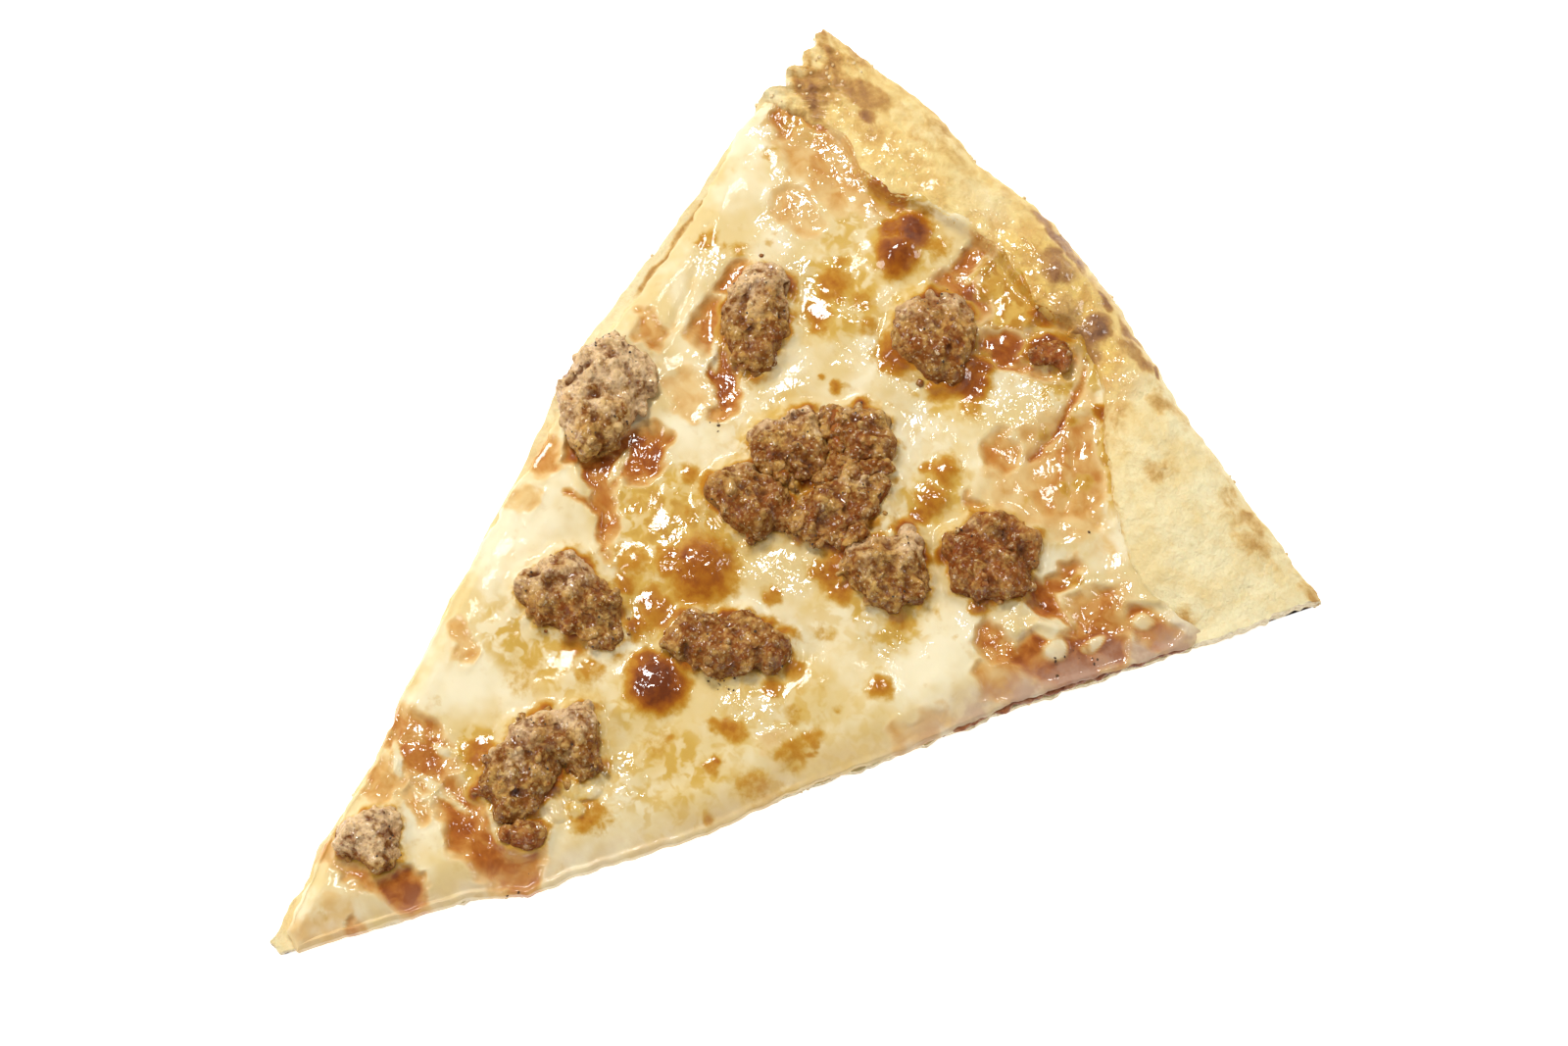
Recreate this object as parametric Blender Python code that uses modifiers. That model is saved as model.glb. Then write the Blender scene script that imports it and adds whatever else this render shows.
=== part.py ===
"""One slice of sausage pizza, lying flat: crust, sauce, melted cheese and sausage crumbles.

The slice rests on z = 0 with its middle over the origin. Its tip points along -Y and its
rim is at +Y. The layers are laid out in a sector: an angle from +Y and a distance from the
apex, the middle of the whole pizza, which lies a little beyond the slice's blunt tip.
"""
import math
import bmesh
import bpy
import numpy as np
from mathutils import Vector, noise

MM = 0.001

# Sizes of the slice, in millimetres
TIP_Y = -115.0          # the tip's place along Y
TIP_RADIUS = 6.0        # the blunt tip's distance from the apex
APEX_Y = TIP_Y - TIP_RADIUS
GAP = 0.35              # clearance between touching layers

# Heights above the table, in millimetres
BASE_TOP = 3.6          # top of the bread under the sauce
SAUCE_BOTTOM = BASE_TOP + GAP
SAUCE_TOP = SAUCE_BOTTOM + 0.9
CHEESE_BOTTOM = SAUCE_TOP + GAP
CHEESE_TOP = 7.9        # usual height of the cheese
CHEESE_EDGE = 6.1       # height of the cheese at its rounded border
LIP_DROP = 1.9          # how far the steep step from the sauce stops below the crest
RIM_EDGE = 3.4          # where the rim's round turns under
RIM_UNDERCUT = 2.6      # how far the underside stays back from the rim's edge

# Cut sides: (distance from the apex, angle). Rim: (angle, distance from the apex or height)
LEFT_CUT = [(6, -14), (14, -18.5), (30, -22.4), (44, -20.9), (58, -22.7), (84, -23.6),
            (112, -23.7), (142, -24.3), (162, -23.3), (186, -22.2), (215, -21.7), (226, -20.8),
            (238, -20.5)]
RIGHT_CUT = [(6, 15), (12, 21.5), (34, 22.0), (48, 22.2), (57, 25.0), (68, 23.6), (96, 23.0),
             (116, 21.6), (144, 21.2), (166, 20.6), (190, 20.6), (212, 20.7), (236, 20.2)]
RIM_EDGE_RADIUS = [(-22, 237), (-20, 236), (-16, 233.8), (-12, 232.5), (-10, 230), (-5, 230.6),
                   (0, 229.3), (4, 227.8), (9, 226.7), (13, 228.4), (18, 231.4), (21, 235)]
LIP_RADIUS = [(-22, 211), (-17, 214), (-13, 207), (-9, 211), (-5, 213.5), (-1, 211), (1, 216),
              (4, 214.5), (7, 208), (9, 204), (12, 200), (16, 198), (19, 203), (21, 207)]
RIM_CREST = [(-21, 8.4), (-17, 10.2), (-9, 11.4), (-2, 11.8), (3, 9.9), (9, 10.8), (14, 10.0),
             (18, 9.0), (21, 7.4)]

# Bare bread left at the cut sides by the cheese: (distance from the apex, width)
LEFT_BARE = [(6, 2.6), (30, 1.6), (60, 1.0), (110, 1.2), (126, 3.4), (160, 4.2), (190, 3.0),
             (205, 1.2)]
RIGHT_BARE = [(6, 0.9), (120, 0.6), (170, 1.4), (205, 0.9)]
CHEESE_START = 12.0     # where the cheese begins, from the apex
CHEESE_STOP = 3.6       # how far before the lip the cheese usually ends
SAUCE_START = 10.0      # where the sauce begins, from the apex
SAUCE_STOP = 2.6        # how far before the lip the sauce ends
SAUCE_BARE = 0.7        # bread left bare by the sauce at both cuts
SLOPE_WIDTH = 8.0       # how far from the right cut the cheese starts to sag

# Swellings in the cheese: (across, from the tip, radius, height)
BLISTERS = [(-6.5, 117, 7.0, 1.5), (7, 94, 6.0, 1.1), (-35, 195, 6.5, 2.0),
            (12, 166, 7.0, 1.0), (-31, 174, 6.5, 0.8)]

# Sausage crumbles, each a few joined lumps: (across, from the tip, radius)
CRUMBLES = [
    [(-6, 26, 4.5), (-5, 32, 3.8), (0, 28, 3.9)],
    [(16, 54, 3.0), (14, 51, 2.5)],
    [(1, 66, 5.3), (5, 75, 5.2), (12, 72, 3.6), (4, 57, 5.4), (9, 55, 4.0), (7, 63, 4.5)],
    [(-22, 94, 5.0), (-24, 87, 4.2), (-18, 87, 3.8), (-13, 95, 5.0), (-14, 90, 4.2), (-7, 93, 3.4)],
    [(5, 104, 4.4), (3, 109, 3.2), (11, 108, 5.2), (17, 116, 5.3), (11, 115, 4.4)],
    [(-51, 129, 7.2), (-46, 133, 4.6), (-51, 121, 5.0), (-42, 117, 5.3), (-44, 124, 5.7)],
    [(-14, 132, 5.2), (-7, 133, 5.5), (-8, 137.5, 4.0), (-14, 136.5, 3.2), (-3.5, 137, 3.1)],
    [(-17, 145, 4.4), (-12, 146.5, 4.6), (-15, 153, 4.0), (-8, 148, 3.6), (-9.5, 151.5, 3.0)],
    [(-8.5, 160, 4.2), (-6, 163.5, 4.3), (-2, 161.5, 4.2), (-3.5, 156, 3.0)],
    [(1, 145.5, 4.4), (4.5, 151, 4.0), (4.5, 157, 2.4), (3, 140.5, 3.2), (-1, 150, 2.4), (6, 143, 2.8)],
    [(15.5, 143, 4.7), (20, 150, 4.6), (23, 144, 4.9), (26, 148, 3.8), (12.5, 144.5, 2.8), (17.5, 154, 3)],
    [(-44, 165, 6.2), (-37.5, 160, 5.4), (-42, 157.5, 5.0), (-34.5, 155.5, 4.6)],
    [(26, 162, 5.0), (27, 169, 4.5), (33, 171, 5.0), (33, 160, 6.0), (38, 165, 5.0)],
    [(-18, 187, 5.0), (-14, 193, 4.2), (-10, 188, 5.8), (-15, 182, 4.6), (-6, 184, 4.2)],
    [(4, 202.5, 2.7), (7, 205, 2.9)],
]
LUMP_FLATNESS = 0.86    # height of a lump against its width
LUMP_LIFT = 0.30        # how high a lump's middle sits, in radii above the cheese
LUMP_REACH = 2.0        # lumps nearer than this to each other grow together
LUMP_VOXEL = 1.15       # grain of the joined lumps
CRUMBLE_ROUGHNESS = 1.7
CRUMBLE_DETAIL = 0.21   # share of the faces kept


def clear_scene():
    for thing in list(bpy.data.objects):
        bpy.data.objects.remove(thing, do_unlink=True)


def new_collection(name):
    collection = bpy.data.collections.new(name)
    bpy.context.scene.collection.children.link(collection)
    return collection


def new_material(name, colour, roughness):
    material = bpy.data.materials.new(name)
    material.use_nodes = True
    shader = material.node_tree.nodes["Principled BSDF"]
    shader.inputs["Base Color"].default_value = (*colour, 1.0)
    shader.inputs["Roughness"].default_value = roughness
    shader.inputs["Metallic"].default_value = 0.0
    material.diffuse_color = (*colour, 1.0)
    return material


def through(points, value):
    """Read a smooth curve through the points, level where they turn back."""
    xs = [point[0] for point in points]
    ys = [point[1] for point in points]
    if value <= xs[0]:
        return ys[0]
    if value >= xs[-1]:
        return ys[-1]
    i = next(k for k in range(len(xs) - 1) if xs[k + 1] >= value)
    slopes = [(ys[k + 1] - ys[k]) / (xs[k + 1] - xs[k]) for k in range(len(xs) - 1)]

    def tangent(k):
        if k == 0 or k == len(xs) - 1:
            return slopes[min(k, len(slopes) - 1)]
        before, after = slopes[k - 1], slopes[k]
        return 0.0 if before * after <= 0 else 2 * before * after / (before + after)

    span = xs[i + 1] - xs[i]
    t = (value - xs[i]) / span
    rise = ys[i] * (1 + 2 * t) * (1 - t) ** 2 + ys[i + 1] * t * t * (3 - 2 * t)
    bend = span * (tangent(i) * t * (1 - t) ** 2 - tangent(i + 1) * t * t * (1 - t))
    return rise + bend


def smooth(low, high, value):
    t = min(max((value - low) / (high - low), 0.0), 1.0)
    return t * t * (3 - 2 * t)


def ripple(x, y, length, seed):
    """Even, seeded unevenness between about -1 and 1."""
    return 2.0 * noise.noise(Vector((x / length, y / length, 7.3 * seed)))


def place(angle, radius):
    return (radius * math.sin(angle), APEX_Y + radius * math.cos(angle))


def cut_angle(radius, across, left_bare=0.0, right_bare=0.0):
    """Angle at a share of the width, from 0 at the left cut to 1 at the right cut."""
    left = math.radians(through(LEFT_CUT, radius)) + left_bare / radius
    right = math.radians(through(RIGHT_CUT, radius)) - right_bare / radius
    return left + (right - left) * across


def rim_radius(angle):
    degrees = math.degrees(angle)
    return through(RIM_EDGE_RADIUS, degrees) + 0.5 * ripple(degrees, 0.0, 1.7, 1)


def lip_radius(angle):
    degrees = math.degrees(angle)
    return through(LIP_RADIUS, degrees) + 0.4 * ripple(degrees, 9.0, 1.9, 2)


def lump_height(x, y):
    """Height of the cheese where nothing sags or ends: waves and blisters."""
    height = CHEESE_TOP + 0.55 * ripple(x, y, 17.0, 3) + 0.25 * ripple(x, y, 8.0, 4)
    for across, from_tip, radius, rise in BLISTERS:
        away = math.hypot(x - across, y - TIP_Y - from_tip) / radius
        height += rise * math.exp(-2.0 * away * away)
    return height


def spaced(start, stop, count, crowd_start=0.0, crowd_stop=0.0):
    """Even steps from start to stop, drawn closer together at the ends."""
    shares = []
    for t in np.linspace(0.0, 1.0, count):
        early = t ** (1 + crowd_start)
        shares.append(1 - (1 - early) ** (1 + crowd_stop))
    return [start + (stop - start) * share for share in shares]


def solid_from_sheet(name, columns, rows, point_at, bottom, inset_at=None):
    """A body under a bent sheet: point_at(row, column) gives its top, bottom its flat foot."""
    mesh_maker = bmesh.new()
    bmesh.ops.create_grid(mesh_maker, x_segments=columns, y_segments=rows, size=0.5)
    mesh_maker.verts.ensure_lookup_table()
    order = sorted(mesh_maker.verts, key=lambda v: (round(v.co.y, 5), round(v.co.x, 5)))
    places = {}
    for index, vert in enumerate(order):
        row, column = divmod(index, columns + 1)
        vert.co = Vector(point_at(row, column)) * MM
        places[vert] = (row, column)
    made = bmesh.ops.extrude_face_region(mesh_maker, geom=mesh_maker.faces[:])
    feet = [item for item in order]
    for vert in feet:
        row, column = places[vert]
        x, y = vert.co.x / MM, vert.co.y / MM
        if inset_at is not None:
            x, y = inset_at(row, column, x, y)
        vert.co = Vector((x, y, bottom)) * MM
    top = {item for item in made["geom"] if isinstance(item, bmesh.types.BMFace)}
    foot = [face for face in mesh_maker.faces
            if face not in top and all(abs(v.co.z - bottom * MM) < 1e-7 for v in face.verts)]
    bmesh.ops.dissolve_faces(mesh_maker, faces=foot, use_verts=True)
    bmesh.ops.recalc_face_normals(mesh_maker, faces=mesh_maker.faces[:])
    mesh = bpy.data.meshes.new(name)
    mesh_maker.to_mesh(mesh)
    mesh_maker.free()
    mesh.shade_smooth()
    mesh.set_sharp_from_angle(angle=math.radians(50))
    return bpy.data.objects.new(name, mesh)


def rim_height(angle, radius):
    """Top of the bread at the rim: a steep lip, a low dome and a round outer edge."""
    lip = lip_radius(angle)
    edge = rim_radius(angle)
    share = (radius - lip) / (edge - lip)
    degrees = math.degrees(angle)
    crest = through(RIM_CREST, degrees) + 0.5 * ripple(degrees, radius, 6.0, 5)
    if share < 0.45:
        dome = crest - LIP_DROP * ((0.45 - share) / 0.45) ** 2
    else:
        dome = RIM_EDGE + (crest - RIM_EDGE) * math.sqrt(max(0.0, 1 - ((share - 0.45) / 0.55) ** 2))
    return BASE_TOP + (dome - BASE_TOP) * smooth(0.0, 1.6, radius - lip)


def make_bread():
    """The bread: a thin base and the puffed rim in one piece, cut straight at both sides."""
    columns = 22
    base_rows = spaced(0.0, 1.0, 20)
    lip_rows = [0.0, 0.9, 1.8]
    rim_rows = spaced(0.0, 1.0, 11, crowd_stop=0.7)[1:]
    shares = spaced(0.0, 1.0, columns + 1)
    rows = len(base_rows) + len(lip_rows) + len(rim_rows) - 1

    def point_at(row, column):
        guess = TIP_RADIUS + (228.0 - TIP_RADIUS) * row / rows
        for _ in range(3):
            angle = cut_angle(guess, shares[column])
            lip = lip_radius(angle)
            if row < len(base_rows):
                guess = TIP_RADIUS + (lip - 0.8 - TIP_RADIUS) * base_rows[row]
            elif row < len(base_rows) + len(lip_rows):
                guess = lip + lip_rows[row - len(base_rows)]
            else:
                start = lip + lip_rows[-1]
                share = rim_rows[row - len(base_rows) - len(lip_rows)]
                guess = start + (rim_radius(angle) - start) * share
        x, y = place(angle, guess)
        height = BASE_TOP if guess < lip else rim_height(angle, guess)
        return (x, y, height)

    def inset_at(row, column, x, y):
        if row < rows:
            return x, y
        angle = math.atan2(x, y - APEX_Y)
        return place(angle, math.hypot(x, y - APEX_Y) - RIM_UNDERCUT)

    return solid_from_sheet("crust", columns, rows, point_at, 0.0, inset_at)


def make_sauce():
    """The sauce: a thin even layer from cut to cut, ending just short of the lip."""
    columns = 18
    rows = 26

    def point_at(row, column):
        guess = SAUCE_START + 195.0 * row / rows
        for _ in range(3):
            angle = cut_angle(guess, column / columns, SAUCE_BARE, SAUCE_BARE)
            end = lip_radius(angle) - SAUCE_STOP
            guess = SAUCE_START + (end - SAUCE_START) * row / rows
        x, y = place(angle, guess)
        return (x, y, SAUCE_TOP)

    return solid_from_sheet("sauce", columns, rows, point_at, SAUCE_BOTTOM)


def cheese_end(angle):
    """Where the melted cheese stops before the lip, unevenly."""
    degrees = math.degrees(angle)
    return lip_radius(angle) - CHEESE_STOP - 1.3 * ripple(degrees, 3.0, 4.0, 6)


def cheese_point(along, across):
    """A point on the cheese for a share of its length and a share of its width."""
    guess = CHEESE_START + 190.0 * along
    for _ in range(3):
        left_bare = through(LEFT_BARE, guess)
        right_bare = through(RIGHT_BARE, guess)
        angle = cut_angle(guess, across, left_bare, right_bare)
        guess = CHEESE_START + (cheese_end(angle) - CHEESE_START) * along
    x, y = place(angle, guess)
    left = (angle - cut_angle(guess, 0.0, left_bare, right_bare)) * guess
    right = (cut_angle(guess, 1.0, left_bare, right_bare) - angle) * guess
    border = min(left, guess - CHEESE_START, cheese_end(angle) - guess)
    slope = smooth(-2.0, SLOPE_WIDTH, right) * math.sqrt(smooth(-0.6, 4.0, border))
    height = CHEESE_EDGE + (lump_height(x, y) - CHEESE_EDGE) * slope
    return (x, y, height)


def cheese_sheet(name, overhang, lift, bottom):
    """The cheese's body, or a copy of it that reaches further at its borders."""
    columns = spaced(0.0, 0.5, 10, crowd_start=0.35) + spaced(0.5, 1.0, 11, crowd_stop=0.45)[1:]
    lines = spaced(0.0, 1.0, 39)
    if overhang:
        columns = [-overhang] + columns + [1.0 + overhang]

    def point_at(row, column):
        across = min(max(columns[column], 0.0), 1.0)
        x, y, height = cheese_point(lines[row], across)
        if columns[column] != across:
            side = -1.0 if columns[column] < 0 else 1.0
            x += side * overhang * 100.0
        return (x, y, height + lift)

    return solid_from_sheet(name, len(columns) - 1, len(lines) - 1, point_at, bottom)


def grown_together(lumps):
    """The lumps, with another between each two neighbours to fill the waist."""
    filled = list(lumps)
    for i, first in enumerate(lumps):
        for second in lumps[i + 1:]:
            apart = math.hypot(first[0] - second[0], first[1] - second[1])
            if apart - first[2] - second[2] < LUMP_REACH:
                middle = [(a + b) / 2 for a, b in zip(first, second)]
                filled.append((middle[0], middle[1], 0.95 * middle[2]))
    return filled


def make_crumble(name, lumps, clearance, roughness):
    """A sausage crumble: joined lumps, roughened, with its foot cut to fit the cheese."""
    mesh_maker = bmesh.new()
    for across, from_tip, radius in grown_together(lumps):
        ball = bmesh.ops.create_icosphere(mesh_maker, subdivisions=3, radius=radius * MM)
        y = TIP_Y + from_tip
        middle = lump_height(across, y) + LUMP_LIFT * radius
        for vert in ball["verts"]:
            vert.co.z *= LUMP_FLATNESS
            vert.co += Vector((across, y, middle)) * MM
    mesh = bpy.data.meshes.new(name)
    mesh_maker.to_mesh(mesh)
    mesh_maker.free()
    crumble = bpy.data.objects.new(name, mesh)

    join = crumble.modifiers.new("join lumps", "REMESH")
    join.mode = "VOXEL"
    join.voxel_size = LUMP_VOXEL * MM
    rough = crumble.modifiers.new("ragged meat", "DISPLACE")
    rough.texture = roughness
    rough.texture_coords = "LOCAL"
    rough.strength = CRUMBLE_ROUGHNESS * MM
    rough.mid_level = 0.55
    thin_out = crumble.modifiers.new("fewer faces", "DECIMATE")
    thin_out.ratio = CRUMBLE_DETAIL
    fit = crumble.modifiers.new("sit on cheese", "BOOLEAN")
    fit.operation = "DIFFERENCE"
    fit.object = clearance
    return crumble


def make_roughness():
    texture = bpy.data.textures.new("meat grain", "CLOUDS")
    texture.noise_scale = 3.2 * MM
    texture.noise_depth = 2
    return texture


def main():
    clear_scene()
    slice_parts = new_collection("pizza_slice")
    cutters = new_collection("cutters")

    looks = {
        "crust": new_material("baked_crust", (0.82, 0.60, 0.33), 0.75),
        "sauce": new_material("tomato_sauce", (0.50, 0.16, 0.06), 0.35),
        "cheese": new_material("melted_cheese", (0.83, 0.69, 0.38), 0.32),
        "sausage": new_material("cooked_sausage", (0.30, 0.15, 0.06), 0.55),
    }

    bread = make_bread()
    sauce = make_sauce()
    cheese = cheese_sheet("cheese", 0.0, 0.0, CHEESE_BOTTOM)
    for body, look in ((bread, "crust"), (sauce, "sauce"), (cheese, "cheese")):
        body.data.materials.append(looks[look])
        slice_parts.objects.link(body)

    clearance = cheese_sheet("cheese clearance", 0.12, GAP, CHEESE_BOTTOM - 3.0)
    clearance.hide_render = True
    clearance.display_type = "WIRE"
    cutters.objects.link(clearance)

    roughness = make_roughness()
    for number, lumps in enumerate(CRUMBLES, start=1):
        crumble = make_crumble(f"sausage_{number:02d}", lumps, clearance, roughness)
        crumble.data.materials.append(looks["sausage"])
        slice_parts.objects.link(crumble)


main()
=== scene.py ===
import math
import bmesh
import bpy
import numpy as np
from mathutils import Matrix, Vector
from mathutils.bvhtree import BVHTree
from mathutils.kdtree import KDTree


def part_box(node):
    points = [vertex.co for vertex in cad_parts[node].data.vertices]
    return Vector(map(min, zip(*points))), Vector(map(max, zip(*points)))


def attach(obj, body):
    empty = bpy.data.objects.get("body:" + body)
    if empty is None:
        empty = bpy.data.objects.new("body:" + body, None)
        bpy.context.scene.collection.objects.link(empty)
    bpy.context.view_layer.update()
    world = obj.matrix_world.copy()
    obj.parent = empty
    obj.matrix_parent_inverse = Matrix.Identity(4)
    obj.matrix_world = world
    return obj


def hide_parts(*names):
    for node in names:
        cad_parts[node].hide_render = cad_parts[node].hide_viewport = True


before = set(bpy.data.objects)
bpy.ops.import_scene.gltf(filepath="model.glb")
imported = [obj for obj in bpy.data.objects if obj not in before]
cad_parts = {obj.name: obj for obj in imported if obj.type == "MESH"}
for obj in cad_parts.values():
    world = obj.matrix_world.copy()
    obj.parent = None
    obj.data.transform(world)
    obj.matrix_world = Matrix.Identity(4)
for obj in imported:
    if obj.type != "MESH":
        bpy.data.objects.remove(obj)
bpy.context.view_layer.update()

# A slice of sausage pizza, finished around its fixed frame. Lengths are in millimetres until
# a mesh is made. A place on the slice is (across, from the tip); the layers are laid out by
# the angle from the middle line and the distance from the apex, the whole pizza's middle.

MM = 0.001

TIP_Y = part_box("crust")[0].y / MM          # the slice's tip along Y
TIP_RADIUS = 6.0                           # from the apex to the blunt tip
RIM_RADIUS = 240.0                         # just past the rim, from the apex

# ---------------------------------------------------------------- places on the slice
# Sauce showing through thin cheese, one patch with painted shadow too: (across, from tip, half length, half
# width, turn, strength)
THIN_PATCHES = [
    (-58, 195, 15, 8, 5, 0.48), (-72, 194, 4, 4, 0, 0.7), (-46, 199, 9, 3, 5, 0.5),
    (-54, 183, 7, 6, 0, 0.4), (-50, 163, 3, 5, 0, 0.75), (-46, 152, 6, 4, -40, 0.75),
    (-35, 148, 9, 3, -42, 0.95), (-29, 142, 3, 3, 0, 0.7), (-37, 139, 7, 5, 0, 0.35),
    (-53, 142, 5, 3, -20, 0.6), (-33, 123, 5, 7, 0, 1.0), (-38, 114, 8, 4, -10, 0.95),
    (-27, 109, 8, 2.5, -38, 0.75), (-46, 107, 5, 4, 0, 0.6), (-41, 98, 4, 4, 0, 0.35),
    (-25, 69, 6, 3, -20, 0.45), (-13, 48, 10, 6, -5, 0.72), (8, 45.5, 13, 5, -8, 0.82),
    (17, 49, 6, 7, 0, 0.8), (23, 47, 3, 5, 0, 0.75), (-12, 38, 6, 4, -30, 0.5),
    # (8, 27) below the tip's crumble is partly sauce and partly painted shadow of the crumble.
    (-4, 40, 5, 3, -20, 0.5), (-2, 22, 10, 3, 12, 0.6), (8, 27, 7, 3.6, 5, 1.1),
    (4, 10, 8, 12, 0, 0.24), (7, 15, 2, 2, 0, 0.6), (-16, 198, 7, 4, 10, 0.95),
    (-21, 206, 3, 8, 15, 0.7), (-2, 196, 8, 4, 40, 0.9), (5, 205, 7, 6, 0, 0.85),
    (1, 211, 5, 3, 0, 0.6), (15, 182, 6, 4, -25, 0.6), (24, 204, 6, 7, 0, 0.5),
    (28, 190, 14, 11, -30, 0.56), (24, 178, 10, 6, 0, 0.35), (21, 169, 3, 3, 0, 0.6),
    (45, 167, 6, 3, 10, 0.95), (44, 174, 3, 5, 0, 0.7), (56, 174, 7, 7, 0, 0.78),
    (64, 182, 6, 4, 15, 0.85), (54, 160, 7, 5, 50, 0.95), (60, 166, 5, 10, -15, 1.05),
    (46, 154, 6, 4, 0, 0.7), (52, 150, 5, 5, 0, 0.5), (50, 130, 4, 8, -15, 0.35),
    (34, 106, 4, 4, 0, 0.25), (-68, 199, 5, 2, 0, 0.8),
]
# Browned cheese: (across, from tip, radius, strength)
BROWN_SPOTS = [
    (-2, 207, 3.0, 0.42), (-9, 209, 2.6, 0.34), (-14, 203, 2.6, 0.38), (8, 204, 2.2, 0.30),
    (-5, 117, 7.5, 0.66), (-10, 113, 4, 0.55), (-16, 107, 4.5, 0.40), (-13, 103, 2.5, 0.45),
    (-5, 104, 5, 0.52), (-4, 99, 3, 0.50), (-23, 128, 2.4, 0.45), (-18, 130, 3.2, 0.52),
    (-16, 122, 3, 0.35), (-25, 115, 2.5, 0.32), (8, 94, 6.2, 0.92), (3, 96, 3, 0.75),
    (8.5, 125, 2.5, 0.5), (38, 130, 3, 0.52), (37, 112, 2.6, 0.42), (37, 107, 4, 0.40),
    (25, 100, 3.2, 0.5), (22, 98, 2, 0.4), (29, 92, 2.4, 0.4), (37, 96, 4, 0.36),
    (36, 85, 1.6, 0.4), (20, 66, 4.5, 0.42), (-4, 57, 4.2, 0.5), (-61, 164, 2.4, 0.4),
    (-55, 168, 2, 0.3), (-67, 187, 2.4, 0.32), (-57, 165, 1.5, 0.3), (-36, 178, 4.5, 0.5),
    (-33, 172, 3.6, 0.48), (-29, 181, 3.5, 0.4), (-24, 178, 2.4, 0.36), (-39, 183, 2, 0.35),
    (-30, 169, 2, 0.4), (-18, 164, 1.8, 0.5), (-18, 156, 2, 0.55), (-22, 163, 1, 0.4),
    (-34, 199, 4.2, 0.86), (-32, 192.5, 4.6, 0.80), (-37, 196, 3, 0.6), (-15, 178.5, 5, 0.6),
    (-4, 181, 3, 0.45), (4, 183, 3, 0.36), (0, 187, 4.2, 0.72), (-2, 191, 3, 0.7),
    (11, 170, 3.6, 0.5), (14, 164, 4, 0.52), (15, 160, 2.6, 0.5), (8, 167, 1.6, 0.45),
    (30, 142, 2.8, 0.34), (28, 147, 2, 0.36), (12, 137, 4.5, 0.52), (17, 136, 3, 0.5),
    (24, 118, 2.6, 0.42), (24, 112, 2.6, 0.45), (31, 112, 2, 0.3), (-46, 200, 3, 0.45),
    (-41, 201, 2.6, 0.45), (-9, 86, 3.5, 0.36), (-3, 85, 3, 0.36), (18, 192, 1.6, 0.35),
    (31, 191, 2.2, 0.34), (46, 176, 1.6, 0.5), (20, 198, 1.4, 0.4), (30, 187, 1.6, 0.35),
    (22, 204, 1.8, 0.66), (-28, 201, 3, 0.35), (-54, 209, 2, 0.4), (22, 128, 2.6, 0.26),
    (9, 150, 3, 0.3), (36, 120, 1.5, 0.3), (18, 86, 4, 0.25), (-11, 75, 5, 0.24),
]
# Golden oil in the cheese: (across, from tip, half length, half width, turn, strength)
OILY_PATCHES = [
    (-17, 119, 14, 9, 20, 0.75), (-5, 106, 9, 7, 0, 0.6), (-33, 177, 9, 9, 0, 0.6),
    (13, 165, 6, 8, 0, 0.55), (24, 88, 12, 8, 20, 0.42), (-14, 79, 15, 7, 10, 0.42),
    (9, 85, 9, 6, 0, 0.32), (26, 100, 7, 7, 0, 0.3), (30, 114, 8, 10, 0, 0.3),
    (-34, 195, 9, 8, 0, 0.45), (-4, 203, 8, 9, 10, 1.0), (-15, 207, 6, 9, 10, 1.0), (8, 207, 8, 9, 0, 1.0),
    (16, 138, 10, 4, 0, 0.5), (31, 141, 4, 8, 0, 0.55), (-4, 57, 5, 5, 0, 0.7),
    (10, 66, 14, 6, 0, 0.3), (-3, 180, 7, 5, 0, 0.45), (-46, 203, 12, 5, 5, 0.5),
    (27, 196, 12, 10, 0, 0.72), (30, 184, 12, 8, 0, 0.4), (6, 133, 6, 4, 0, 0.15),
    (-21, 145, 3, 14, 10, 0.35),
    (-58, 206, 8, 5, 0, 0.5), (18, 110, 9, 9, 0, 0.3), (37, 188, 5, 7, 0, 0.15),
    (-44, 188, 9, 8, 0, 0.34), (20, 131, 12, 7, 0, 0.22), (-15, 168, 10, 5, 0, 0.14),
    (30, 80, 10, 6, 15, 0.3),
    (40, 100, 8, 8, 0, 0.3), (22, 78, 16, 9, 20, 0.3), (42, 118, 9, 14, 10, 0.22),
    (-20, 92, 9, 14, -10, 0.2), (0, 155, 14, 6, 0, 0.14),
    (-22, 188, 5, 9, 0, 0.35), (2, 172, 9, 5, 0, 0.2), (-24, 142, 6, 9, 0, 0.2),
]
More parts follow.
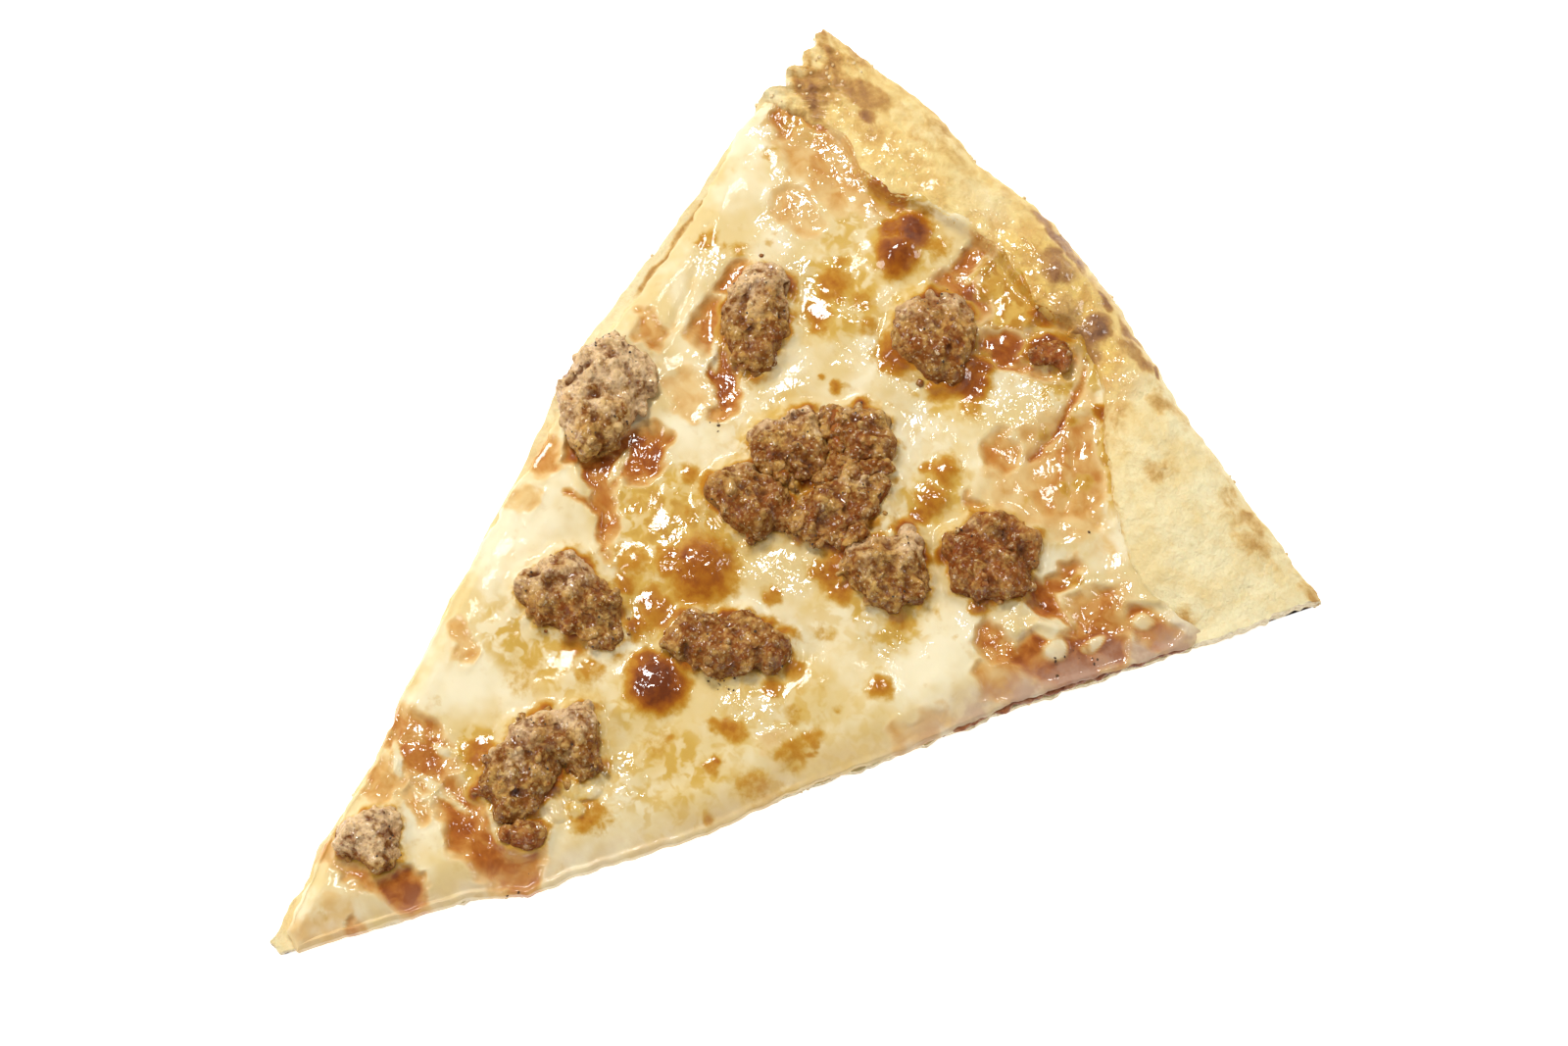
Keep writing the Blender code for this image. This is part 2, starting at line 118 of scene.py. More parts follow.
# Wet, crinkled skin that sparkles: (across, from tip, half length, half width, turn, strength)
WET_PATCHES = [
    (-62, 196, 7, 4, 10, 1.0), (-57, 193, 4, 3, 0, 1.0), (-56, 185, 7, 3.5, 0, 1.0),
    (-53, 178, 8, 3, -5, 0.8), (-43, 175, 6, 3, 0, 0.6), (-53, 161, 8, 3.5, 0, 1.0),
    (-27, 156, 4, 7, 0, 0.9), (-37, 147, 8, 4, -30, 0.9), (-30, 178, 3, 3, 40, 1.0),
    (-38, 182, 4, 2, 0, 0.8), (-46, 201, 12, 4, 5, 0.9), (-70, 192, 6, 4, 30, 0.8),
    (-21, 206, 4, 9, 10, 0.9), (-16, 197, 7, 5, 0, 0.9), (-34, 124, 7, 5, 0, 0.9),
    (-9, 118, 8, 6, 0, 0.9), (13, 192, 9, 9, 0, 1.0), (4, 190, 8, 7, 0, 0.9),
    (-6, 175, 10, 4, 0, 0.7), (-22, 171, 5, 6, 0, 0.5), (4, 130, 9, 7, 20, 1.0),
    (25, 107, 9, 5, 10, 1.0), (19, 75, 7, 6, -20, 0.8), (29, 137, 5, 5, 0, 1.0),
    (44, 157, 8, 6, 20, 0.9), (54, 176, 6, 9, 10, 1.0), (8, 95, 4, 4, 0, 1.0),
    (-10, 49, 11, 5, 0, 0.9), (14, 50, 7, 4, 0, 0.9), (-6, 44, 5, 3, 0, 0.9),
    (16, 65, 5, 6, 0, 0.7), (5, 205, 6, 7, 0, 0.9), (14, 164, 4, 5, 0, 0.9),
    (5, 77, 4, 4, 0, 0.8), (8, 131, 5, 4, 0, 0.8), (-38, 196, 8, 3, 0, 0.7),
    (5, 186, 8, 4, 0, 0.6), (42, 178, 4, 5, 0, 0.5), (62, 184, 5, 3, 0, 0.6),
    (-1, 20, 5, 2, 0, 0.7), (-3, 102, 5, 5, 0, 0.5), (-36, 114, 5, 4, 0, 0.7),
]
# Domes blown up in the cheese: (across, from tip, radius, height)
CHEESE_DOMES = [
    (-5, 117, 7.5, 0.9), (8, 94, 6.2, 1.0), (-34, 199, 4.4, 1.5), (-32, 192.5, 4.8, 1.6),
    (14, 164, 3.6, 0.7), (11, 170, 3.4, 0.6), (-3, 203, 7.0, 2.2), (5, 205, 5.0, 1.4),
    (1, 211, 3.6, 1.0), (12, 205, 3.4, 1.0), (21, 204, 2.0, 0.5), (-35, 177, 4.0, 0.5),
    (-5, 104, 4.6, 0.5), (-16, 107, 4.0, 0.4), (-4, 57, 4.0, 0.6), (-13, 48, 5.0, 0.4),
    (16, 49, 4.0, 0.7), (55, 177, 4.0, 0.6), (51, 163, 4.0, 0.5),
]
# Folds in the cheese skin: (places along it, width, depth, sauce showing in it)
CREASES = [
    ([(12, 209), (15, 204), (18, 197), (20, 191), (20.5, 186)], 0.9, 0.8, 0.95),
    ([(-63, 166), (-57, 158), (-51, 147), (-47, 137)], 1.1, 0.5, 0.15),
    ([(25, 194), (31, 188), (36, 180), (44, 177)], 1.2, 0.4, 0.2),
    ([(-24, 206), (-20, 200), (-13, 197)], 0.8, 0.5, 0.6),
    ([(-6, 192), (0, 194), (6, 199)], 0.8, 0.6, 0.8),
    ([(38, 168), (47, 167), (53, 169), (60, 168)], 0.8, 0.6, 0.7),
    ([(-36, 106), (-28, 109), (-22, 104)], 0.8, 0.5, 0.7),
    ([(-20, 44), (-12, 50), (-2, 46), (10, 45), (20, 42)], 1.0, 0.5, 0.35),
]
# Shreds of cheese that kept their shape: (across, from tip, half length, half width, turn, height)
CHEESE_SHREDS = [
    (14, 66.5, 3.4, 1.7, 20, 1.5), (17, 69, 2.2, 1.3, 60, 1.0), (15, 61.5, 2.6, 1.5, -10, 1.2),
    (18, 65, 1.6, 1.2, 0, 0.9), (12, 152.5, 2.4, 2.6, 0, 1.7), (10, 155, 1.8, 1.5, 0, 1.0),
    (50, 164, 3.4, 2.0, 15, 1.4), (55, 163, 2.4, 2.6, 0, 1.5), (46, 159.5, 2.4, 1.6, -20, 1.0),
    (62, 181, 2.2, 1.4, 20, 0.8), (44, 163, 2.0, 1.2, 60, 0.8), (-30, 157, 1.6, 3.4, 15, 0.7),
    (10, 50, 4.0, 1.0, -15, 0.6), (-2, 46, 6.0, 1.0, 12, 0.6), (-14, 43, 4.0, 0.9, -30, 0.5),
    (-9, 52, 3.0, 1.0, 30, 0.5), (59, 170, 1.4, 3.0, -15, 0.7), (-36, 109, 4.5, 0.9, -30, 0.5),
    (2, 207, 3.5, 0.9, 40, 0.6), (6, 202, 3.0, 0.8, -30, 0.6), (-19, 205, 0.9, 4.0, 12, 0.6),
    (-34, 118, 1.0, 4.0, 20, 0.5), (-40, 149, 4.0, 0.9, -40, 0.5),
]
# Browned and burnt places on the rim: (across, from tip, half length, half width, turn, strength)
RIM_BROWN = [
    (-71, 206, 9, 7, -20, 0.46), (-72, 202, 6, 2.4, -10, 0.52), (-76, 213, 6, 2.5, 10, 0.40),
    (-60, 208, 2.2, 1.8, 0, 0.6), (-64, 211, 7, 3, 20, 0.5), (-45, 214, 12, 5, 0, 0.34),
    (-54, 206, 7, 4, 0, 0.42), (-39, 212, 2, 1.6, 0, 0.4), (-24, 212, 8, 5, 0, 0.30),
    (-12, 221.5, 9, 1.4, 0, 0.6), (-7, 216, 4, 3.6, 0, 0.66), (-9, 218, 3, 2, 0, 0.7),
    (1, 212, 4.4, 3.0, 0, 0.52), (8, 213, 3.8, 5.4, 12, 0.80), (11, 209, 2.6, 4.6, 10, 0.6),
    (-14, 213, 6, 5, 0, 0.42), (4, 217, 6, 3, 0, 0.48), (5, 220, 3, 1.2, -20, 0.7),
    (17, 217, 5, 2, 0, 0.55), (13, 220, 4, 1, 0, 0.55), (23, 218, 2, 0.8, -30, 0.7),
    (22, 204, 8, 7, 0, 0.36), (40, 203, 4, 4, 0, 0.34), (40, 203, 2, 2, 0, 0.2),
    (62, 210, 9, 3, -12, 0.34), (58, 212, 5, 1.4, 0, 0.36), (67, 189, 3, 1.6, 0, 0.35),
    (30, 215, 6, 2, 0, 0.34), (36, 193, 9, 0.8, -28, 0.38), (46, 187.5, 5, 0.8, -40, 0.4),
    (58, 184.5, 9, 0.8, 4, 0.38), (80, 213, 3, 2, 0, 0.4), (27, 199, 1.2, 5, -15, 0.4),
]
# Oily, glazed places on the rim: (across, from tip, half length, half width, turn, strength)
RIM_GLAZED = [(-4, 212, 20, 10, 0, 1.0), (12, 209, 10, 10, 0, 1.0), (-46, 206, 10, 4, 5, 0.5),
              (-68, 203, 6, 5, 0, 0.5)]
# Floury pale places on the rim: (across, from tip, half length, half width, turn, strength)
RIM_PALE = [(-28, 214, 9, 4, 0, 1.0), (-50, 216, 8, 3, 10, 0.6), (30, 205, 6, 8, 0, 0.6)]
# Swellings and dents of the rim: (across, from tip, half length, half width, turn, height)
RIM_SWELLS = [
    (-45, 214, 12, 5, 0, 0.9), (-7, 216, 4, 3.5, 0, 1.4), (1, 212, 4.0, 3, 0, 1.3),
    (8, 213, 3.4, 4.8, 10, 1.4), (-14, 207, 4, 3, 0, 0.9), (-16, 213, 5, 5, 0, 0.6), (18, 213, 6, 5, 0, 0.4),
    (40, 203, 4.5, 4, 0, 0.35), (62, 209, 9, 3, -12, 0.5), (30, 205, 7, 7, 0, 0.2),
    (-28, 208, 8, 5, 0, 0.5), (-61, 207, 5, 4, 0, -0.7), (60, 197, 9, 8, 0, -0.3),
    (-54, 205, 5, 3, 0, -0.4), (27, 211, 4, 3, 0, -0.4), (-1, 205, 5, 5, 0, 0.8),
]
# Notches torn out of the left end of the rim: (distance from the apex, depth, half length)
TORN_NOTCHES = [(219.5, 3.6, 1.5), (225.5, 1.6, 1.2), (211.0, 1.6, 1.6), (231.0, 1.5, 1.6)]

# How each crumble is cooked, from the tip upwards: (paleness, redness, sauce on it, swelling)
CRUMBLE_COOKING = [
    (0.95, 0.50, 0.05, 0.3), (0.25, 0.90, 0.45, 0.5), (0.58, 0.20, 0.15, 0.3),
    (0.56, 0.45, 0.10, 0.2), (0.20, 0.45, 0.20, 0.2), (0.95, 0.25, 0.05, 0.2),
    (0.20, 0.45, 0.20, 0.2), (0.44, 0.45, 0.15, 0.5), (0.26, 0.50, 0.10, 0.4),
    (0.36, 0.50, 0.15, 0.8), (0.54, 0.30, 0.10, 0.5), (0.60, 0.35, 0.10, 0.1),
    (0.12, 0.62, 0.30, -0.3), (0.42, 0.45, 0.20, -0.1), (0.15, 0.90, 0.60, 0.4),
]


HEAP = (7, 8, 9, 10, 11)          # crumbles that lie against each other in the middle
# Scorched herb flecks: (across, from tip, half length, half width, turn, how many)
HERB_PATCHES = [
    (16, 104, 3.0, 2.0, 20, 1.0), (-12, 98, 2.0, 1.5, 0, 0.5), (22, 46, 1.6, 3.0, 0, 0.6),
    (40, 186, 3.0, 3.0, 0, 0.4), (-28, 141, 1.5, 3.0, 0, 0.6), (60, 166, 3.0, 6.0, 0, 0.4),
    (-14, 196, 6.0, 2.0, 10, 0.4),
]


# ---------------------------------------------------------------- smooth fields
def fade(t):
    return t * t * t * (t * (t * 6 - 15) + 10)


def grain(x, y, size, seed):
    """Smooth unevenness between about -1 and 1, the same at every run."""
    turn = np.random.default_rng(seed).random((256, 256)) * 2 * np.pi
    u, v = np.asarray(x) / size, np.asarray(y) / size
    i, j = np.floor(u).astype(int), np.floor(v).astype(int)
    fu, fv = u - i, v - j

    def corner(di, dj):
        angle = turn[(i + di) % 256, (j + dj) % 256]
        return np.cos(angle) * (fu - di) + np.sin(angle) * (fv - dj)

    near = corner(0, 0) * (1 - fade(fu)) + corner(1, 0) * fade(fu)
    far = corner(0, 1) * (1 - fade(fu)) + corner(1, 1) * fade(fu)
    return 1.5 * (near * (1 - fade(fv)) + far * fade(fv))


def rough(x, y, size, seed, octaves=3, gain=0.5):
    total = 0.0
    for k in range(octaves):
        total = total + gain ** k * grain(x + 31 * k, y - 17 * k, size / 2 ** k, seed + k)
    return total


def smooth(low, high, value):
    t = np.clip((value - low) / (high - low), 0.0, 1.0)
    return t * t * (3 - 2 * t)


def wander(x, s, size, reach, seed):
    """The place, pushed aside unevenly, so that patches get ragged outlines."""
    return x + reach * rough(x, s, size, seed, 2), s + reach * rough(x, s, size, seed + 9, 2)


def patches(x, s, table, soft=0.5, ragged=1.2, seed=50):
    """Strength of the nearest patches: full inside, fading over a share of their size."""
    px, ps = wander(x, s, 5.0, ragged, seed)
    total = np.zeros(np.shape(x))
    for across, from_tip, half_length, half_width, turn, strength in table:
        c, d = math.cos(math.radians(turn)), math.sin(math.radians(turn))
        u = (c * (px - across) + d * (ps - from_tip)) / half_length
        v = (-d * (px - across) + c * (ps - from_tip)) / half_width
        away = np.sqrt(u * u + v * v)
        patch = strength * (1 - smooth(1 - soft, 1 + soft, away))
        total = np.where(abs(strength) > 0, np.maximum(total, patch) if strength > 0
                         else np.minimum(total, patch), total)
    return total


def round_patches(table):
    return [(across, s, radius, radius, 0, strength) for across, s, radius, strength in table]


def swells(x, s, table, ragged=0.6, seed=80):
    """Sum of rounded swellings, each with its own height."""
    px, ps = wander(x, s, 4.0, ragged, seed)
    total = np.zeros(np.shape(x))
    for across, from_tip, half_length, half_width, turn, height in table:
        c, d = math.cos(math.radians(turn)), math.sin(math.radians(turn))
        u = (c * (px - across) + d * (ps - from_tip)) / half_length
        v = (-d * (px - across) + c * (ps - from_tip)) / half_width
        total += height * (1 - smooth(0.0, 1.35, np.sqrt(u * u + v * v)))
    return total


# ---------------------------------------------------------------- reading the frame
def cad_tree(node):
    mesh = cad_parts[node].data
    return BVHTree.FromPolygons([v.co for v in mesh.vertices],
                                [tuple(face.vertices) for face in mesh.polygons])


TREES = {node: cad_tree(node) for node in ("crust", "cheese")}
DOWN = Vector((0, 0, -1))


def height_at(node, x, s):
    """Height of a CAD node's top over a place on the slice, or None beside it."""
    hit = TREES[node].ray_cast(Vector((x, s + TIP_Y, 50.0)) * MM, DOWN)[0]
    return None if hit is None else hit.z / MM


def polar(angle, radius):
    return radius * np.sin(angle), radius * np.cos(angle) - TIP_RADIUS


def farthest(node, place_at, inside, outside):
    """How far a node reaches from a place inside it towards one outside it."""
    for _ in range(14):
        middle = (inside + outside) / 2
        if height_at(node, *place_at(middle)) is None:
            outside = middle
        else:
            inside = middle
    return inside


def crust_angles(turn, radii):
    return np.array([farthest("crust", lambda a, r=r: polar(a, r), 0.0, turn * math.radians(34))
                     for r in radii])


def cheese_setback(turn, radii, cuts):
    """Distances where the cheese reaches the cut, and how far behind the bread it ends there."""
    found = []
    for radius, cut in zip(radii, cuts):
        inside = cut - turn * 6.0 / radius
        if height_at("cheese", *polar(inside, radius)) is not None:
            end = farthest("cheese", lambda a: polar(a, radius), inside, cut + turn * 5.0 / radius)
            found.append((radius, turn * (cut - end) * radius))
    return np.array(found).T


RADII = np.arange(TIP_RADIUS + 0.6, 228.0, 1.5)
CRUST_LEFT, CRUST_RIGHT = crust_angles(-1, RADII), crust_angles(1, RADII)
CHEESE_LEFT = cheese_setback(-1, RADII, CRUST_LEFT)
CHEESE_RIGHT = cheese_setback(1, RADII, CRUST_RIGHT)
ANGLES = np.radians(np.arange(-20.4, 20.01, 0.4))
RIM_EDGE = np.array([farthest("crust", lambda r, a=a: polar(a, r), 215.0, RIM_RADIUS + 4)
                     for a in ANGLES])
BASE_TOP = height_at("crust", 0.0, 1.5)
CHEESE_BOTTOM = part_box("cheese")[0].z / MM
SAUCE_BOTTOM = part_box("sauce")[0].z / MM
SAUCE_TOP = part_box("sauce")[1].z / MM


def rim_section(angle):
    """Where the step up to the rim starts along this angle, and the rim's crest height."""
    steps = np.arange(185.0, 232.0, 0.5)
    heights = [height_at("crust", *polar(angle, r)) or 0.0 for r in steps]
    start = next(r for r, height in zip(steps, heights) if height > BASE_TOP + 0.4)
    return start - 0.3, max(heights)


LIP, CREST = np.array([rim_section(a) for a in ANGLES]).T


def blurred(values, reach):
    window = np.hanning(2 * reach + 3)[1:-1]
    padded = np.pad(values, reach, mode="edge")
    return np.convolve(padded, window / window.sum(), mode="valid")


CREST = blurred(CREST, 3)
LIP = blurred(LIP, 1)


def crust_cut(radius, side):
    table = CRUST_LEFT if side < 0 else CRUST_RIGHT
    return np.interp(radius, RADII, table)


def torn(radius, side):
    """How far the cut side steps in, in mm: a ragged cut, and tears at the rim's left end."""
    ragged = 0.50 * rough(radius, radius * 0 + 40 * side, 6.0, 300 + side, 3)
    if side > 0:
        frill = np.clip(rough(radius, radius * 0 + 7, 3.6, 305, 2) - 0.25, 0, 1)
        return ragged + 0.30 * rough(radius, radius * 0, 1.6, 310, 2) - 1.4 * frill
    notches = 0.6 * smooth(200, 212, radius) * rough(radius, radius * 0, 3.5, 320, 3)
    for centre, depth, half in TORN_NOTCHES:
        notches = notches + depth * np.exp(-((radius - centre) / half) ** 2)
    return ragged + notches


def rim_edge(angle):
    degrees = np.degrees(angle)
    ragged = 0.35 * rough(degrees * 4, degrees * 0, 3.0, 330, 3)
    return np.interp(angle, ANGLES, RIM_EDGE) + ragged


def lip_at(angle):
    degrees = np.degrees(angle)
    return np.interp(angle, ANGLES, LIP) + 0.35 * rough(degrees * 4, degrees * 0, 3.2, 340, 3)


# ---------------------------------------------------------------- building meshes
def slab(name, top, rings, values):
    """A closed body: a grid of top points, rings of points below its border, a flat foot."""
    rows, columns = top.shape[:2]
    index = np.arange(rows * columns).reshape(rows, columns)
    quads = np.stack([index[:-1, :-1], index[:-1, 1:], index[1:, 1:], index[1:, :-1]], -1)
    faces = quads.reshape(-1, 4).tolist()
    border = border_order(rows, columns)
    count = len(border)
    above = border
    points = [top.reshape(-1, 3)]
    for level, ring in enumerate(rings):
        below = rows * columns + level * count + np.arange(count)
        sides = np.stack([below, np.roll(below, -1), np.roll(above, -1), above], -1)
        faces += sides.tolist()
        points.append(ring)
        above = below
    faces.append(above[::-1].tolist())
    mesh = bpy.data.meshes.new(name)
    mesh.from_pydata((np.concatenate(points) * MM + (0, TIP_Y * MM, 0)).tolist(), [], faces)
    for key, (on_top, on_rings) in values.items():
        data = np.concatenate([on_top.reshape(-1)] + list(on_rings)).astype(np.float32)
        mesh.attributes.new(key, "FLOAT", "POINT").data.foreach_set("value", data)
    mesh.shade_smooth()
    mesh.set_sharp_from_angle(angle=math.radians(70))
    body = bpy.data.objects.new(name, mesh)
    bpy.context.scene.collection.objects.link(body)
    return body


def border_order(rows, columns):
    """Indices round the grid's border, anticlockwise from above, from the tip's left corner."""
    index = np.arange(rows * columns).reshape(rows, columns)
    return np.concatenate([index[0, :], index[1:, -1], index[-1, -2::-1], index[-2:0:-1, 0]])


def border_sides(rows, columns):
    """For each border point: 0 tip, 1 right cut, 2 rim, 3 left cut."""
    return np.concatenate([np.full(columns, 0), np.full(rows - 1, 1),
                           np.full(columns - 1, 2), np.full(rows - 2, 3)])


def outward(border):
    """Level directions out of the body at each border point."""
    along = np.roll(border[:, :2], -2, 0) - np.roll(border[:, :2], 2, 0)
    out = np.stack([along[:, 1], -along[:, 0]], -1)
    return out / np.maximum(np.linalg.norm(out, axis=1, keepdims=True), 1e-6)


def run_length(border):
    """Distance walked along the border, for patterns that follow it."""
    steps = np.linalg.norm(np.diff(border[:, :2], axis=0, append=border[:1, :2]), axis=1)
    return np.concatenate([[0], np.cumsum(steps)[:-1]])


def crowded(count, start=0.0, stop=0.0):
    """Shares from 0 to 1, drawn closer together at the ends."""
    t = np.linspace(0, 1, count)
    early = t ** (1 + start)
    return 1 - (1 - early) ** (1 + stop)


def sector(row_radius, shares, left, right, passes=5):
    """Angles and distances from the apex of a grid between two cuts.

    row_radius(angle) gives every row's distance for a grid of angles."""
    radius = None
    angle = np.zeros((1, len(shares)))
    for _ in range(passes):
        radius = row_radius(angle)
        low, high = left(radius), right(radius)
        angle = low + (high - low) * shares[None, :]
    return angle, radius


# ---------------------------------------------------------------- the bread
RIM_UNDERCUT = 2.4
LIP_DROP = 1.7


def rim_height(angle, radius):
    """Top of the bread at the rim: a steep lip, a low dome and a round outer edge."""
    lip, edge = lip_at(angle), rim_edge(angle)
    share = (radius - lip) / (edge - lip)
    crest = np.interp(angle, ANGLES, CREST)
    inner = crest - LIP_DROP * np.clip((0.45 - share) / 0.45, 0, 1) ** 2
    fall = np.clip((share - 0.45) / 0.55, 0, 1)
    outer = 3.2 + (crest - 3.2) * np.sqrt(np.clip(1 - fall ** 2.3, 0, 1))
    dome = np.where(share < 0.45, inner, outer)
    steep = smooth(0.0, np.where(angle > 0.02, 1.3, 3.5), radius - lip)
    return BASE_TOP + (dome - BASE_TOP) * steep


def bread_height(angle, radius):
    x, s = polar(angle, radius)
    lip, edge = lip_at(angle), rim_edge(angle)
    on_rim = smooth(0.5, 3.0, radius - lip)
    inner_part = np.clip((edge - radius) / 4.0, 0, 1)
    flaky = smooth(-16.0, -19.0, np.degrees(angle)) * on_rim
    height = rim_height(angle, radius)
    height = height + on_rim * inner_part * (
        swells(x, s, RIM_SWELLS) + 0.45 * rough(x, s, 9.0, 400, 3)
        + 0.20 * rough(x, s, 2.6, 410, 2))
    layers = np.abs(rough(x * 0.5 + s, s - x, 4.5, 420, 3))
    height = height + flaky * inner_part * (1.6 * layers - 0.6)
    wrinkles = 0.35 * np.abs(rough(x, s, 3.4, 430, 2))
    browned = patches(x, s, RIM_BROWN)
    height = height - on_rim * inner_part * browned * wrinkles * 0.8
    return height + (1 - on_rim) * 0.2 * rough(x, s, 3.0, 440, 3)


def make_bread():
    """Base and rim in one baked piece, with open crumb at the cut sides."""
    shares = crowded(250, 0.15, 0.15)
    base_rows = np.linspace(0, 1, 150)
    lip_rows = np.linspace(0.0, 3.6, 11)
    rim_rows = crowded(66, 0.0, 0.25)[1:]

    def rows_of(angle):
        """Row distances where every row has its own angles."""
        lip, edge = lip_at(angle), rim_edge(angle)
        n, m = len(base_rows), len(lip_rows)
        radius = np.empty((n + m + len(rim_rows), angle.shape[1]))
        radius[:n] = TIP_RADIUS + (lip[:n] - 0.5 - TIP_RADIUS) * base_rows[:, None]
        radius[n:n + m] = lip[n:n + m] + lip_rows[:, None]
        outer = lip[n + m:] + 3.6
        radius[n + m:] = outer + (edge[n + m:] - outer) * rim_rows[:, None]
        return radius

    count = len(base_rows) + len(lip_rows) + len(rim_rows)

    def spread(angle):
        return rows_of(np.broadcast_to(angle, (count, len(shares))))

    def left(radius):
        return crust_cut(radius, -1) + torn(radius, -1) / radius

    def right(radius):
        return crust_cut(radius, 1) - torn(radius, 1) / radius

    angle, radius = sector(spread, shares, left, right)
    x, s = polar(angle, radius)
    height = bread_height(angle, radius)
    top = np.stack([x, s, height], -1)

    order = border_order(*x.shape)
    side = border_sides(*x.shape)
    edge = top.reshape(-1, 3)[order]
    out = outward(edge)
    run = run_length(edge)
    rings = []
    levels = np.linspace(0, 1, 13)[1:]
    for level in levels:
        z = edge[:, 2] * (1 - level)
        crumb = 0.55 * np.abs(rough(run, z * 1.6, 1.7, 500, 3)) - 0.25
        crumb = crumb + 0.4 * rough(run, z, 6.0, 510, 2)
        crumb = crumb * math.sin(math.pi * min(1.0, 0.12 + level)) * (1 - 0.3 * level)
        round_edge = 0.5 * math.sin(math.pi * level) - RIM_UNDERCUT * level ** 2.2
        push = np.where(side == 2, round_edge, -crumb)
        push = push - 0.5 * smooth(0.86, 1.0, level)
        rings.append(np.column_stack([edge[:, :2] + out * push[:, None], z]))

    lip = lip_at(angle)
    on_rim = smooth(-1.0, 2.0, radius - lip)
    glaze = patches(x, s, RIM_GLAZED, 0.6, 1.8)
    faint = [row for row in RIM_BROWN if row[5] < 0.5]
    burnt = [row for row in RIM_BROWN if row[5] >= 0.5]
    toast = patches(x, s, faint, 0.85, 2.2) * (1 - 0.75 * glaze)
    toast = np.maximum(toast, patches(x, s, burnt, 0.45, 1.4))
    toast = toast + 0.10 * on_rim * rough(x, s, 7.0, 520, 3)
    near_edge = smooth(7.0, 0.0, rim_edge(angle) - radius)
    toast = toast + 0.12 * near_edge * (1 + rough(x, s, 5.0, 530, 3))
    golden = on_rim * smooth(8.0, -2.0, np.degrees(angle)) * smooth(-21.5, -19.0, np.degrees(angle))
    golden = golden * (1 - 0.75 * patches(x, s, RIM_PALE, 0.6, 1.5))
    golden = np.maximum(golden, 0.55 * patches(x, s, OILY_PATCHES, 0.7, 1.5))
    from_cut = (angle - left(radius)) * radius
    ledge_line = np.exp(-((from_cut - 2.4 - 0.8 * rough(x, s, 9.0, 540, 2)) / 0.7) ** 2)
    toast = toast + 0.55 * ledge_line * smooth(142, 148, s) * smooth(190, 182, s)
    tear = smooth(-55, -70, x) * on_rim
    streaks = rough(x * 0.35 + s * 0.2, (s + 0.5 * x) * 1.6, 2.6, 535, 3)
    toast = toast + tear * (0.10 + 0.17 * streaks)
    levels_toast = []
    for level in levels:
        rim_side = np.where(side == 2, 0.30 + 0.35 * level, 0.0)
        levels_toast.append(rim_side + smooth(0.85, 1.0, level) * 0.25)
    crumb_top = np.zeros_like(x)
    crumb_rings = [np.where(side == 2, 0.0, 1.0) * (1 - smooth(0.86, 0.97, level)) for level in levels]
    foot = [np.full(len(order), float(smooth(0.96, 1.0, level))) for level in levels]
    values = {
        "toast": (np.clip(toast, 0, 1), levels_toast),
        "golden": (golden, [golden.reshape(-1)[order] * (1 - level) for level in levels]),
        "crumb": (crumb_top, crumb_rings),
        "underside": (crumb_top, foot),
        "glaze": (glaze, [glaze.reshape(-1)[order] * (1 - level) for level in levels]),
    }
    return slab("bread", top, rings, values)


# ---------------------------------------------------------------- the sauce
def make_sauce():
    """A thin layer of cooked sauce, bulging a little out of the cuts."""
    shares = crowded(90, 0.1, 0.1)
    along = np.linspace(0, 1, 260)

    def spread(angle):
        start = 14.0
        return start + (lip_at(angle) - 1.2 - start) * along[:, None] * np.ones_like(angle[:1])

    def left(radius):
        hidden = 1.6 - 1.5 * smooth(148, 154, radius) * smooth(190, 184, radius)
        bare = np.interp(radius, *CHEESE_LEFT) + hidden + 0.4 * grain(radius, radius * 0, 3.0, 600)
        return crust_cut(radius, -1) + bare / radius

    def right(radius):
        shown = smooth(140, 152, radius)
        bare = 1.6 - 1.3 * shown + 0.9 * grain(radius, radius * 0, 3.0, 610)
        return crust_cut(radius, 1) - bare / radius

    angle, radius = sector(spread, shares, left, right)
    x, s = polar(angle, radius)
    top = np.stack([x, s, SAUCE_TOP + 0.15 * rough(x, s, 2.0, 620, 2)], -1)
    order = border_order(*x.shape)
    edge = top.reshape(-1, 3)[order]
    out, run = outward(edge), run_length(edge)
    rings = []
    for level in (0.25, 0.5, 0.75, 1.0):
        z = edge[:, 2] + (SAUCE_BOTTOM - 0.2 - edge[:, 2]) * level
        bulge = (0.5 + 0.6 * rough(run, z, 2.2, 630, 2)) * math.sin(math.pi * level)
        rings.append(np.column_stack([edge[:, :2] + out * bulge[:, None], z]))
    return slab("sauce_layer", top, rings, {})


# ---------------------------------------------------------------- the cheese
def grid_blurred(values, reach):
    """The grid, evened out over a number of cells each way."""
    for axis in (0, 1):
        values = np.apply_along_axis(blurred, axis, values, reach)
    return values


def crumble_distance(x, s, crumbles):
    """Distance from each place to the nearest crumble's foot, and zero beneath one."""
    feet = []
    for crumble in crumbles:
        points = np.empty(len(crumble.data.vertices) * 3)
        crumble.data.vertices.foreach_get("co", points)
        points = points.reshape(-1, 3) / MM
        low = points[points[:, 2] < points[:, 2].min() + 2.6]
        feet.append(low[:, :2] - (0, TIP_Y))
    feet = np.concatenate(feet)
    tree = KDTree(len(feet))
    for i, (fx, fs) in enumerate(feet):
        tree.insert((fx, fs, 0), i)
    tree.balance()
    away = [tree.find((px, ps, 0))[2] for px, ps in zip(x.reshape(-1), s.reshape(-1))]
    return np.array(away).reshape(x.shape)


